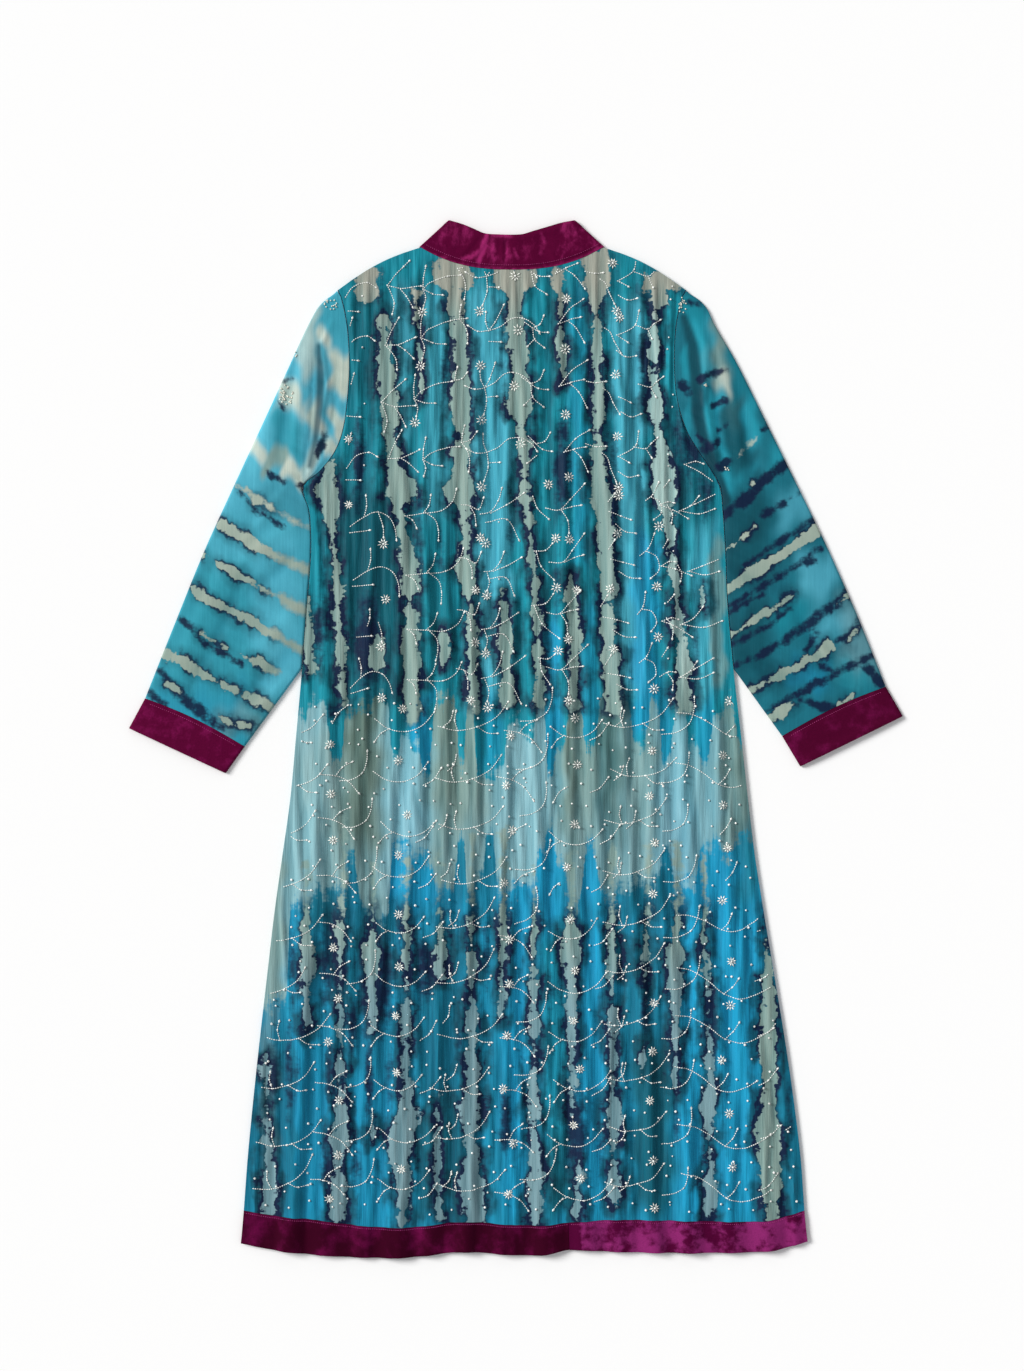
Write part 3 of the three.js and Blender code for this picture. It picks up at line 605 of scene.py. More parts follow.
# %% The back's ground and dark dye
back_washes = [
    # left, top, right, bottom, soft edge, dye, strength
    (466, 290, 512, 700, 7, "aqua", 0.5), (424, 285, 448, 520, 6, "aqua", 0.35),
    (392, 290, 412, 480, 6, "aqua", 0.4), (570, 280, 590, 560, 6, "bright", 0.3),
    (612, 300, 646, 700, 7, "aqua", 0.5), (690, 520, 716, 700, 7, "aqua", 0.35),
    (632, 540, 660, 740, 7, "bright", 0.7), (575, 600, 600, 740, 6, "bright", 0.4),
    (540, 620, 560, 780, 5, "bright", 0.7), (352, 300, 380, 400, 6, "deep", 0.45),
    (340, 490, 400, 610, 10, "deep", 0.85), (330, 600, 420, 700, 10, "deep", 0.6),
    (428, 480, 452, 690, 6, "deep", 0.35), (545, 280, 556, 600, 4, "deep", 0.5),
    (584, 300, 592, 640, 3, "deep", 0.45), (624, 300, 634, 540, 4, "deep", 0.4),
    (668, 400, 716, 520, 8, "deep", 0.6), (610, 560, 630, 640, 8, "deep", 0.3),
    (300, 660, 330, 720, 6, "turquoise", 0.6), (360, 690, 392, 740, 6, "deep", 0.6),
    (412, 690, 432, 770, 5, "bright", 0.8), (330, 300, 425, 700, 20, "deep", 0.25),
    (711, 545, 724, 690, 3, "sage", 0.5), (694, 700, 716, 770, 6, "bright", 0.5),
    (655, 690, 674, 770, 5, "bright", 0.5), (484, 690, 500, 770, 5, "bright", 0.4),
    # the lower part of the skirt
    (300, 870, 345, 930, 8, "teal", 0.6), (345, 840, 366, 900, 6, "deep", 0.5),
    (390, 840, 432, 910, 7, "bright", 0.75), (452, 830, 500, 900, 8, "deep", 0.45),
    (500, 830, 560, 930, 8, "bright", 0.7), (585, 830, 604, 900, 5, "bright", 0.6),
    (618, 860, 668, 920, 8, "deep", 0.6), (680, 840, 740, 940, 8, "bright", 0.7),
    (735, 830, 760, 900, 6, "teal", 0.6), (318, 905, 400, 990, 9, "deep", 0.6),
    (240, 1040, 300, 1220, 8, "deep", 0.35), (303, 1040, 332, 1210, 6, "bright", 0.5),
    (350, 1080, 395, 1215, 8, "bright", 0.6), (296, 860, 304, 1165, 2, "bright", 0.7),
    (420, 930, 466, 1100, 8, "deep", 0.55), (418, 1100, 466, 1215, 8, "deep", 0.8),
    (486, 905, 500, 1215, 6, "deep", 0.3), (506, 930, 530, 1215, 6, "bright", 0.65),
    (542, 930, 566, 1215, 7, "turquoise", 0.5), (545, 1130, 575, 1215, 7, "deep", 0.7),
    (580, 930, 606, 1215, 6, "bright", 0.55), (620, 930, 668, 1060, 8, "deep", 0.5),
    (632, 1040, 672, 1215, 8, "deep", 0.85), (682, 930, 704, 1215, 6, "bright", 0.75),
    (714, 930, 762, 1215, 8, "bright", 0.55), (778, 1000, 810, 1215, 6, "deep", 0.5),
    (262, 1000, 276, 1210, 5, "sage", 0.35), (240, 1000, 400, 1215, 20, "deep", 0.22),
]
band_tones_and_fold_shade = [
    # the broad pale band, where hardly any dye took; its strips are partly painted light and
    # shade of the band's folds
    (240, 600, 345, 960, 18, "mist", 1), (330, 600, 392, 960, 16, "sage", 0.7),
    (346, 600, 378, 960, 12, "olive", 0.8), (386, 600, 430, 960, 14, "sky", 0.7),
    (428, 600, 494, 960, 15, "sage", 0.8), (440, 600, 462, 960, 11, "olive", 0.45),
    (490, 600, 562, 960, 15, "mist", 0.9), (505, 600, 545, 960, 12, "sky", 0.4),
    (558, 600, 602, 960, 10, "sage", 0.75), (565, 600, 575, 960, 3, "olive", 0.5),
    (600, 600, 626, 960, 9, "olive", 0.75), (622, 600, 660, 960, 14, "grey", 0.8),
    (658, 600, 686, 960, 12, "sky", 0.7), (296, 740, 330, 800, 12, "grey", 0.4),
    (330, 850, 420, 960, 12, "mist", 0.5), (440, 820, 520, 900, 14, "mist", 0.5),
    (560, 830, 660, 960, 14, "mist", 0.45), (686, 600, 724, 960, 12, "mist", 0.8),
    (720, 600, 748, 960, 10, "sage", 0.7), (738, 600, 800, 960, 8, "olive", 0.6),
    (240, 930, 291, 1045, 6, "mist", 0.8), (262, 860, 284, 1020, 5, "sage", 0.6),
]
# Where the dye ends above the band and begins again below it: (x, level of each edge)
band_edges = [
    (240, 720, 1010), (284, 721, 1002), (293, 722, 905), (300, 722, 900), (320, 706, 893),
    (338, 765, 880), (350, 715, 850), (366, 705, 905), (385, 702, 915), (395, 760, 846),
    (404, 735, 842), (416, 745, 850), (425, 772, 852), (440, 702, 880), (452, 700, 884),
    (462, 764, 834), (470, 700, 890), (480, 772, 868), (490, 775, 828), (500, 770, 880),
    (512, 722, 884), (530, 738, 880), (542, 705, 850), (550, 782, 828), (560, 745, 862),
    (575, 700, 905), (590, 752, 842), (605, 700, 890), (622, 700, 885), (640, 748, 880),
    (655, 705, 875), (665, 764, 848), (680, 705, 882), (692, 748, 880), (704, 764, 840),
    (716, 715, 842), (728, 706, 852), (742, 745, 832), (765, 745, 858), (800, 745, 860),
]
back_navy = [
    # left, top, right, bottom, soft edge, amount
    (352, 402, 366, 520, 4, 0.9), (334, 482, 346, 522, 4, 0.9), (352, 592, 384, 690, 7, 1),
    (308, 598, 330, 664, 5, 0.8), (414, 295, 422, 420, 2.5, 0.95), (415, 430, 423, 700, 3, 0.6),
    (554, 388, 572, 540, 5, 0.9), (552, 540, 562, 640, 3, 0.6), (440, 330, 450, 420, 3, 0.6),
    (497, 300, 506, 400, 2.5, 0.5), (638, 318, 653, 410, 5, 0.9), (670, 395, 712, 480, 8, 0.8),
    (694, 470, 716, 520, 5, 0.7), (586, 300, 592, 420, 2.5, 0.7), (610, 400, 618, 520, 3, 0.5),
    (434, 520, 446, 600, 4, 0.5), (320, 700, 348, 722, 4, 0.6), (402, 690, 408, 720, 2, 0.6),
    (396, 400, 404, 470, 3, 0.5), (318, 560, 328, 640, 4, 0.5), (506, 500, 516, 560, 3, 0.5),
    (612, 560, 622, 640, 3, 0.5), (650, 540, 660, 620, 3, 0.5), (690, 600, 700, 690, 3, 0.4),
    (332, 888, 348, 1000, 6, 1), (358, 930, 394, 1035, 9, 1), (318, 900, 334, 1020, 4, 0.6),
    (398, 890, 414, 960, 5, 0.8), (414, 938, 434, 1004, 6, 0.9), (285, 1000, 294, 1150, 3, 0.8),
    (365, 1030, 374, 1125, 3, 0.9), (500, 1080, 511, 1158, 4, 0.95),
    (430, 1166, 444, 1216, 5, 0.95), (704, 975, 718, 1090, 4, 0.8), (705, 1140, 716, 1204, 3, 0.7),
    (320, 1118, 336, 1204, 4, 0.7), (268, 1168, 284, 1220, 4, 0.7), (558, 930, 564, 1010, 3, 0.7),
    (529, 936, 536, 1034, 3, 0.7), (668, 1030, 680, 1080, 4, 0.8), (348, 1000, 358, 1060, 3, 0.8),
    (326, 1030, 334, 1110, 3, 0.7), (350, 1130, 364, 1200, 4, 0.6), (430, 1095, 444, 1135, 3, 0.9),
    (428, 1160, 442, 1200, 3, 0.9), (498, 1118, 510, 1152, 3, 0.8), (565, 1086, 586, 1180, 6, 1),
    (596, 1130, 606, 1180, 3, 0.5), (268, 1040, 280, 1110, 4, 0.8), (292, 1050, 302, 1100, 3, 0.6),
    (700, 1000, 716, 1050, 3, 0.8), (752, 1090, 764, 1180, 4, 0.5), (482, 900, 490, 1000, 3, 0.6),
    (640, 980, 650, 1040, 3, 0.7), (545, 960, 554, 1030, 3, 0.5), (784, 1060, 794, 1150, 3, 0.6),
    (722, 1060, 732, 1120, 3, 0.4), (398, 1180, 414, 1220, 4, 0.6), (289, 915, 297, 1010, 3, 0.6),
    (470, 1140, 484, 1160, 3, 0.6), (384, 1030, 394, 1110, 3, 0.6), (456, 1000, 464, 1080, 3, 0.6),
    (520, 1040, 528, 1100, 3, 0.4), (672, 1085, 680, 1150, 2, 0.7),
]


def dark_field(x, y, blots):
    """Amount of dark dye from soft ovals in the rectangles: the most that any of them gives."""
    amount = np.zeros(np.shape(x))
    for left, top, right, bottom, soft, strength in blots:
        dx = (x - (left + right) / 2) / ((right - left) / 2 + soft)
        dy = (y - (top + bottom) / 2) / ((bottom - top) / 2 + 3 * soft)
        off = (dx**2 + dy**2) ** 0.5
        amount = np.maximum(amount, strength * smooth_step(1.15, 0.1, off))
    return amount


def band_field(x, y):
    """How far a place is in the dyed cloth above or below the pale band, in squares. The dye
    ran in fingers: each row of the table is a finger's end, with a soft step to the next."""
    edges = np.array(band_edges, float)
    k = np.clip(np.searchsorted(edges[:, 0], x) - 1, 0, len(edges) - 2)
    start, end = edges[k].T, edges[k + 1].T
    share = smooth_step(0.22, 0.78, (x - start[0]) / (end[0] - start[0]))
    above, below = mix(start[1:], end[1:], share)
    return np.maximum(above - y, y - below)


armhole_shade_width = 0.004


def dye_back(piece, striped=True):
    """Gives the body's cloth its ground and the colour of the pale band, with painted light and
    shade of the band's folds, how far each place is from the band and inside the pale stripes,
    its dark dye with a painted shade line along the armhole seams, how strongly that outlines
    the stripes, the stripes' own colour, and how low the cloth lies, for painted shade."""
    points = points_of(piece)
    x, y = to_chart(*points[:, :2].T)
    plain = tinted(dye["turquoise"], "blue", smooth_step(700, 900, y))
    give(piece, "ground", wash(plain, x, y, back_washes))
    # The pale band's colour: partly painted light and shade of its folds
    give(piece, "band_colour_and_fold_shade", wash(plain, x, y, band_tones_and_fold_shade))
    give(piece, "dyed", band_field(x, y))

    pale = np.maximum(stripe_field(x, y, back_stripes), patch_field(x, y, back_patches))
    give(piece, "pale", pale if striped else np.full(len(x), far_outside))
    across, level = body_share(points[:, 0], points[:, 1])
    # Painted shade: a dark line along the sides above the underarm, where the armhole seams lie
    seam = smooth_step(armhole_shade_width, 0, inwards(across))
    seam = seam * smooth_step(underarm_level - 20 * mm, underarm_level, level)
    dark = dark_field(x, y, back_navy) * (1.0 if striped else 0.6)
    give(piece, "dark", np.maximum(dark, seam * striped))
    in_band = smooth_step(700, 735, y) * smooth_step(930, 885, y)
    give(piece, "outline", mix(1.0, 0.05, in_band) * mix(0.35, 1, smooth_step(285, 310, y)))

    bare = tinted(dye["warm_bare"], "bare", smooth_step(280, 340, y))
    right = 0.8 * smooth_step(590, 650, x) * smooth_step(300, 340, y) * smooth_step(720, 640, y)
    bare = tinted(bare, "light_bare", right)
    lower_left = smooth_step(900, 1020, y) * smooth_step(735, 715, x)
    give(piece, "bare", tinted(bare, "cool_bare", lower_left))
    soft = 0.8 + 2.4 * smooth_step(690, 730, y) * smooth_step(925, 890, y)
    give(piece, "soft", soft + 0.8 * smooth_step(300, 270, y))
    # Painted shade: how low the cloth lies, from its creases and crinkles, for the material to
    # darken
    give(piece, "hollow", -back_lift(across, level) / mm if striped else 0 * x)


# %% [markdown]
# ## The dyed silk
#
# The material mixes three colours: the ground, the dark dye, and the bare silk of the stripes.
# Noise with the size of the real dye's scallops shifts each boundary before it is cut sharp.
# Fine streaks run down the cloth, partly the dye's own and partly painted light and shade of
# fine crinkles, and painted shade darkens the places where the cloth lies low. A weave and small
# crinkles go in as bump. The gloss is silk's: a middling roughness with a little sheen.

# %% Node helpers
class Value:
    """What a node puts out. Adding to it or multiplying it adds a Math node."""

    def __init__(self, socket):
        self.socket = socket

    def maths(self, how, other):
        """This value and another, or a number, put together: SUBTRACT, MAXIMUM and so on."""
        made = node(self.socket.id_data, "Math", operation=how)
        for socket, value in zip(made.inputs, (self, other, 0.0)):
            join(socket, value)
        return Value(made.outputs[0])

    def __add__(self, other):
        return self.maths("ADD", other)

    def __mul__(self, other):
        return self.maths("MULTIPLY", other)


def material(name):
    """A new material and its Principled BSDF."""
    made = bpy.data.materials.new(name)
    made.use_nodes = True
    return made, made.node_tree.nodes["Principled BSDF"]


def node(tree, kind, **settings):
    """Adds a node and sets its options."""
    made = tree.nodes.new("ShaderNode" + kind)
    for key, value in settings.items():
        setattr(made, key, value)
    return made


def join(socket, value):
    """Puts a number, a colour or another node's value into a socket."""
    if isinstance(value, Value):
        socket.id_data.links.new(value.socket, socket)
    elif hasattr(value, "__len__"):
        socket.default_value = (*value, 1)[: len(socket.default_value)]
    else:
        socket.default_value = value


def fill(made, inputs):
    """Fills a node's inputs by their names."""
    for name, value in inputs.items():
        join(made.inputs[name], value)
    return made


def place_on(shader):
    """The place on the object, which patterns are made from."""
    return Value(node(shader.id_data, "TexCoord").outputs["Object"])


def stored(shader, name, kind="Fac"):
    """The number stored at the surface under this name, or with kind Color the colour."""
    return Value(node(shader.id_data, "Attribute", attribute_name=name).outputs[kind])


# %% Ramps, blends and textures
def ramp(value, low, high, to_low=0.0, to_high=1.0):
    """A smooth step from to_low at low to to_high at high."""
    made = node(value.socket.id_data, "MapRange", interpolation_type="SMOOTHSTEP")
    ends = {"From Min": low, "From Max": high, "To Min": to_low, "To Max": to_high}
    return Value(fill(made, {"Value": value, **ends}).outputs["Result"])


def blend(share, a, b, how="MIX"):
    """Colour a towards colour b by a share."""
    tree = next(one.socket.id_data for one in (share, a, b) if isinstance(one, Value))
    made = node(tree, "Mix", data_type="RGBA", blend_type=how)
    for k, value in ((0, share), (6, a), (7, b)):
        join(made.inputs[k], value)
    return Value(made.outputs[2])


def grey(value):
    """The grey with this value."""
    made = node(value.socket.id_data, "CombineColor")
    for socket in made.inputs:
        join(socket, value)
    return Value(made.outputs[0])


def texture(kind, output, place, stretch, **inputs):
    """A texture whose lumps or cells measure one over stretch (x, y, z), in metres."""
    tree = place.socket.id_data
    mapping = fill(node(tree, "Mapping"), {"Vector": place, "Scale": stretch})
    made = node(tree, kind)
    fill(made, {"Vector": Value(mapping.outputs[0]), "Scale": 1, **inputs})
    return Value(made.outputs[output])


def noise(place, stretch, detail=2.0, roughness=0.5):
    """Cloudy noise between 0 and 1."""
    return texture("TexNoise", "Fac", place, stretch, Detail=detail, Roughness=roughness)


def cells(place, stretch):
    """Distance from the middle of the nearest of scattered cells, in widths of a cell."""
    return texture("TexVoronoi", "Distance", place, stretch)


def swing(value, middle, size):
    """A value taken about its middle and sized."""
    return value.maths("SUBTRACT", middle) * size


def bump(shader, height, strength, distance):
    """Lets a height between 0 and 1 tilt the surface, as if it rose by the distance."""
    made = node(shader.id_data, "Bump")
    fill(made, {"Strength": strength, "Distance": distance, "Height": height})
    join(shader.inputs["Normal"], Value(made.outputs[0]))


# %% Dyed silk
# low_tint darkens a colour for dark streaks, clouds and painted shade in low places; high_tint
# lightens it for light streaks, which are partly painted crinkle light
low_tint, high_tint = (0.3, 0.53, 0.59), (1.35, 1.22, 1.2)
weave_scale, weave_depth = 700, 0.05


def dye_wobble(place, scallop):
    """How far the dye's boundaries wander, in squares: the lobes of large and small cells, and
    three sizes of noise."""
    large, small = cells(place, (96, 72, 1)), cells(place, (260, 200, 1))
    grains = [noise(place, (105, 60, 1), 2), noise(place, (120, 330, 1), 2, 0.6)]
    grains.append(noise(place, (700, 600, 1), 2, 0.6))
    wobble = swing(large, 0.62, 3.0 * scallop) + swing(small, 0.58, 1.4 * scallop)
    for grain, size in zip(grains, (2.6, 2.2, 0.9)):
        wobble = wobble + swing(grain, 0.5, size * scallop)
    return wobble


def silk_surface(shader, place, crinkle):
    """The silk's small creases and weave, as bump, and its gloss."""
    small = noise(place, (330, 22, 1), 3, 0.55)
    ways = [node(shader.id_data, "TexWave", bands_direction=way) for way in "XY"]
    for threads in ways:
        fill(threads, {"Vector": place, "Scale": weave_scale, "Distortion": 0.6})
    warp, weft = (Value(threads.outputs["Fac"]) for threads in ways)
    bump(shader, small * crinkle + warp * weft * weave_depth, 0.9, 1.0 * mm)
    gloss = {"Roughness": 0.55, "Specular IOR Level": 0.12}
    fill(shader, {**gloss, "Sheen Weight": 0.03, "Sheen Roughness": 0.4})


def dyed_silk(name, scallop, ring_width, fringe, rough, streak, shade, crinkle):
    """Silk whose dye is read from the piece. scallop is how far, in squares, its boundaries
    wander, ring_width how wide the dark outline gets and fringe how dark the dye is outside it;
    rough, streak, shade and crinkle are how ragged its blots and how strong its streaks, the
    painted shade in its hollows and its small creases are."""
    made, shader = material(name)
    place = place_on(shader)
    read = lambda layer: stored(shader, layer)
    tint = lambda layer: stored(shader, layer, "Color")
    wobble = dye_wobble(place, scallop)

    pale = read("pale") + wobble
    bare_silk = ramp(pale, read("soft") * -1.0, read("soft"))
    outline = read("outline")
    width = ramp(noise(place, (52, 26, 1), 2), 0.34, 0.62, 0.0, ring_width)
    ring = ramp(pale + width, -1.5, 2.5) * outline * ramp(width, 0.3, 1.6)
    halo = ramp(read("pale") + wobble * 0.5 + width * 1.6, -8, 3) * outline
    blot = ramp(read("dark") + wobble * rough, 0.1, 0.9) * ramp(read("dark"), 0.02, 0.25)
    dark = ring.maths("MAXIMUM", blot)

    # Streaks down the cloth: partly the dye's own, partly painted light and shade of fine crinkles
    streaks, cloud = noise(place, (460, 8, 1), 4, 0.7), noise(place, (36, 15, 1), 3)
    # Painted shade: how low the cloth lies, to darken its hollows
    hollow = ramp(read("hollow"), -0.7, 0.9)

    def streaked(colour, share):
        """A colour with its darker and lighter streaks, partly the dye's own and partly painted
        light and shade of fine crinkles, and with painted shade where the cloth is low.
        """
        low, high = (blend(1.0, colour, by, "MULTIPLY") for by in (low_tint, high_tint))
        colour = blend(ramp(cloud, 0.45, 0.75) * (0.35 * share), colour, low)
        colour = blend(ramp(streaks, 0.52, 0.76) * share, colour, low)
        colour = blend(hollow * shade, colour, low)
        return blend(ramp(streaks, 0.5, 0.28) * share, colour, high)

    took = read("dyed") + (swing(streaks, 0.5, 38) + wobble * 2.4)
    # The pale band's colour carries painted light and shade of its folds
    band_colour_and_fold_shade, full = streaked(tint("band_colour_and_fold_shade"), 0.45 * streak), streaked(tint("ground"), streak)
    colour = blend(halo * fringe, blend(ramp(took, -7, 7), band_colour_and_fold_shade, full), dye["ink"])
    colour = blend(dark * 0.95, colour, dye["navy"])
    colour = blend(bare_silk, colour, streaked(tint("bare"), 0.55 * streak))
    join(shader.inputs["Base Color"], colour)
    silk_surface(shader, place, crinkle)
    return made


silk_of_body = dyed_silk(
    "dyed_silk_body",
    scallop=2.7, ring_width=6.5, fringe=0.8, rough=0.06, streak=0.8, shade=0.42, crinkle=1.25,
)
silk_of_sleeves = dyed_silk(
    "dyed_silk_sleeves",
    scallop=1.7, ring_width=4.2, fringe=0.4, rough=0.15, streak=0.35, shade=0.5, crinkle=0.3,
)

# %% [markdown]
# ## The back
#
# One panel of silk from the neck to the hem. Its two skins share one grid, a little finer than
# the smallest crinkle needs, and stand one wall apart.

# %% Make the back
back_columns, back_rows = 300, 160


def back_skin(across, level):
    """The back's lower skin: its folds and everything that lifts them."""
    x, y = body_place(across, level)
    return stack(x, y, fold_height(across, down_body(level)) + back_lift(across, level))


def finish_piece(piece, node_name, cloth):
    """Makes a piece ride with the jacket in the place of its rigid solid."""
    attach(piece, "root")
    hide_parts(node_name)
    piece.data.materials.append(cloth)
    print(piece.name, len(piece.data.polygons), "faces")
    return piece


up = np.array([0, 0, 1])
across_grid, level_grid = np.meshgrid(
    np.linspace(0, 1, back_columns + 1), np.linspace(shoulder_level, hem_level, back_rows + 1)
)
back_under = back_skin(across_grid, level_grid)
back = sheet_wall("back_cloth", back_under + silk * up, back_under)
dye_back(back)
finish_piece(back, "back", silk_of_body)


# %% [markdown]
# ## The fronts
#
# The two fronts lie under the back, face down and flat on the surface. They meet edge to edge.
# Nobody sees them unless the jacket is turned over, so they are flat, with the dye's ground only.

# %% Make the fronts
front_columns, front_rows, front_opening = 60, 110, 2 * mm


def front_shares(side):
    """Shares across the body from the front's opening to its side."""
    left, right = body_sections[0, 1:]
    towards = -1 if side == "left" else 1
    opening = (neck_middle + towards * front_opening / 2 - left) / (right - left)
    ends = (0, opening) if side == "left" else (opening, 1)
    return np.linspace(*ends, front_columns + 1)


fronts = []
for side in ("left", "right"):
    levels = np.linspace(shoulder_level, hem_level, front_rows + 1)
    across, level = np.meshgrid(front_shares(side), levels)
    x, y = body_place(across, level, front_neck)
    front = sheet_wall(f"front_{side}_cloth", stack(x, y, silk), stack(x, y, 0 * mm))
    dye_back(front, striped=False)
    fronts.append(finish_piece(front, f"front_{side}", silk_of_body))


# %% [markdown]
# ## The sleeves
#
# A sleeve is a flattened tube. Its lower layer lies on the surface, its sides are round folds,
# and its upper layer arches over with the soft creases that pull from the armhole. Each station
# is one closed loop: along the top, round the inner fold, back along the bottom and round the
# outer fold. The dye was bound across the sleeve, so its stripes slant round the arm.

# %% Sleeve outlines
part_clearance, cuff_bow, fan_share, fan_drop = 0.6 * mm, 4 * mm, 0.36, 2 * mm
sleeve_puff, cuff_puff, puff_start, puff_full = 2.2 * mm, 1.6 * mm, -0.03, 0.1
edge_free = 0.08
left_sleeve = {
    "side": 1,
    "outer": [(0, -196.6, 493), (0.05, -212, 482), (0.12, -226.5, 458.5), (0.27, -251, 406),
        (0.41, -280, 343), (0.55, -312, 274), (0.68, -342, 208), (0.84, -374.5, 128),
        (1, -407.5, 45)],
    "cuff_inner": (-298, -8),
    "hem_outer": (-425.3, 12),
    "hem_inner": (-319, -37.5),
}
right_sleeve = {
    "side": 2,
    "outer": [(0, 187.6, 493), (0.05, 205, 481.5), (0.12, 219, 454.5), (0.27, 244, 411),
        (0.41, 277, 344.5), (0.55, 309, 279.5), (0.68, 340, 215.5), (0.84, 375, 136.5),
        (1, 406.5, 57.8)],
    "cuff_inner": (292.5, 3.5),
    "hem_outer": (425.3, 25.3),
    "hem_inner": (312.5, -30),
}


def sleeve_place(sleeve, across, along):
    """X and Y at a place of a sleeve: straight from its outer to its inner edge, with the
    armhole's hollow near the shoulder and the bow of the cuff's seam at the other end."""
    side, outwards = sleeve["side"], -1 if sleeve["side"] == 1 else 1
    places, outer_x, outer_y = np.array(sleeve["outer"]).T
    inner_end = np.array(sleeve["cuff_inner"]) * mm
    beside = lambda level: body_edge(side, level) + outwards * part_clearance
    fan = underarm_level - fan_drop * np.minimum(along / fan_share, 1)
    inner = mix(fan, inner_end[1], np.maximum(0, (along - fan_share) / (1 - fan_share)))
    parted = np.maximum(0, (part_level - inner) / (part_level - inner_end[1]))
    inner_x = mix(beside(np.maximum(inner, part_level)), inner_end[0], parted)
    y = mix(read_table(places, outer_y, along) * mm, inner, across)
    level = np.maximum(y, underarm_level)
    down = (shoulder_level - level) / (shoulder_level - underarm_level)
    chord = mix(beside(np.float64(shoulder_level)), beside(np.float64(underarm_level)), down)
    free = smooth_step(0, edge_free, along) * (1 - across) ** 3
    hollow = (beside(level) - chord) * (1 - along) ** 2 * (1 - free)
    bow = cuff_bow * along**4 * np.sin(np.pi * np.clip(across, 0, 1))
    return mix(read_table(places, outer_x, along) * mm, inner_x, across) + hollow, y + bow


def cuff_place(sleeve, across, w):
    """The same for a cuff, w from 0 at its seam to 1 at its hem: straight on from the sleeve."""
    x, y = sleeve_place(sleeve, across, np.ones_like(w))
    outer, inner = np.array(sleeve["hem_outer"]) * mm, np.array(sleeve["hem_inner"]) * mm
    return mix(x, mix(outer[0], inner[0], across), w), mix(y, mix(outer[1], inner[1], across), w)


def loop_shares(top_count, turn_count, bottom_count):
    """Places round a flattened tube's section: shares across it, how far each is pushed out of
    the straight part, from -1 to 1, and its height from -1 on the bottom to 1 on top."""
    top, bottom = np.linspace(0, 1, top_count + 1), np.linspace(1, 0, bottom_count + 1)
    turn = np.pi * np.linspace(0, 1, turn_count + 1)[1:-1]
    share = np.concatenate([top, np.ones(len(turn)), bottom, np.zeros(len(turn))])
    push = np.concatenate([0 * top, np.sin(turn), 0 * bottom, -np.sin(turn)])
    high = np.concatenate([0 * top + 1, np.cos(turn), 0 * bottom - 1, -np.cos(turn)])
    return share, push, high


def around(counts):
    """How many places a loop has, from the counts that loop_shares takes."""
    top_count, turn_count, bottom_count = counts
    return top_count + bottom_count + 2 * turn_count


def low_arch(across):
    """1 over most of a tube's width, and steep at its sides."""
    return np.sqrt(np.maximum(0, 1 - (2 * np.clip(across, 0, 1) - 1) ** 4))


def flat_tube(name, place, along, wall, arch, counts, mirrored):
    """A flattened tube: place gives the outline, and arch the height of the upper layer above
    the round folds, at its places (across, along)."""
    share, push, high = loop_shares(*counts)
    half = (2 * wall + seam_gap) / 2
    skins = []
    for inset in (0, wall):
        edge = [np.stack(place(np.full_like(along, k), along), axis=-1) for k in (0.0, 1.0)]
        width = np.linalg.norm(edge[1] - edge[0], axis=-1)[:, None]
        reach = (half - inset) * push[None, :]
        across = (half + share[None, :] * (width - 2 * half) + reach) / width
        x, y = place(across, np.broadcast_to(along[:, None], across.shape))
        raised = np.where(high >= 1, arch(across, along[:, None], x, y), 0)
        z = half + (half - inset) * high + raised
        skins.append(stack(x, y, z))
    return tube_wall(name, *skins, mirrored)


# %% Creases and stripes of the sleeves
left_sleeve_creases = [
    ([(333, 318), (322, 345), (327, 385), (320, 440), (306, 482)], 3.2, 2.6),
    ([(320, 335), (314, 375), (312, 430), (303, 478)], 4, -1.8),
    ([(338, 352), (335, 410), (322, 462)], 3.5, -1.2),
    ([(312, 330), (302, 370), (296, 430), (290, 480)], 6, 1.8),
    ([(296, 350), (286, 410), (276, 470)], 5, -1.3),
    ([(282, 380), (266, 430), (252, 480)], 7, 1.6),
    ([(300, 520), (270, 540), (235, 570)], 8, 1.3), ([(305, 545), (280, 570), (240, 600)], 6, -1.2),
    ([(304, 600), (270, 640), (232, 668)], 9, 1.6), ([(300, 640), (272, 672), (238, 700)], 7, -1.4),
    ([(292, 672), (268, 700), (240, 728)], 6, 1.4), ([(230, 560), (200, 620), (172, 680)], 9, 1.5),
    ([(250, 560), (226, 620), (190, 690)], 6, -1.2), ([(290, 480), (262, 520), (240, 545)], 5, 1.0),
]
right_sleeve_creases = [
    ([(694, 318), (706, 350), (704, 400), (712, 440), (722, 486)], 4, 2.2),
    ([(704, 318), (716, 360), (716, 410), (722, 460)], 4, -1.6),
    ([(716, 340), (728, 380), (736, 430), (742, 480)], 6, 1.8),
    ([(732, 370), (744, 420), (752, 470)], 5, -1.3), ([(748, 400), (764, 450), (776, 500)], 7, 1.5),
    ([(722, 520), (750, 545), (790, 560)], 8, 1.2), ([(722, 560), (756, 585), (800, 600)], 6, -1.2),
    ([(730, 610), (760, 640), (806, 662)], 9, 1.6), ([(742, 650), (772, 676), (814, 692)], 7, -1.4),
    ([(760, 690), (785, 712), (815, 716)], 6, 1.4), ([(790, 560), (822, 610), (852, 664)], 8, 1.4),
    ([(776, 570), (800, 620), (830, 680)], 6, -1.1), ([(808, 620), (822, 650), (842, 672)], 4, 1.0),
]
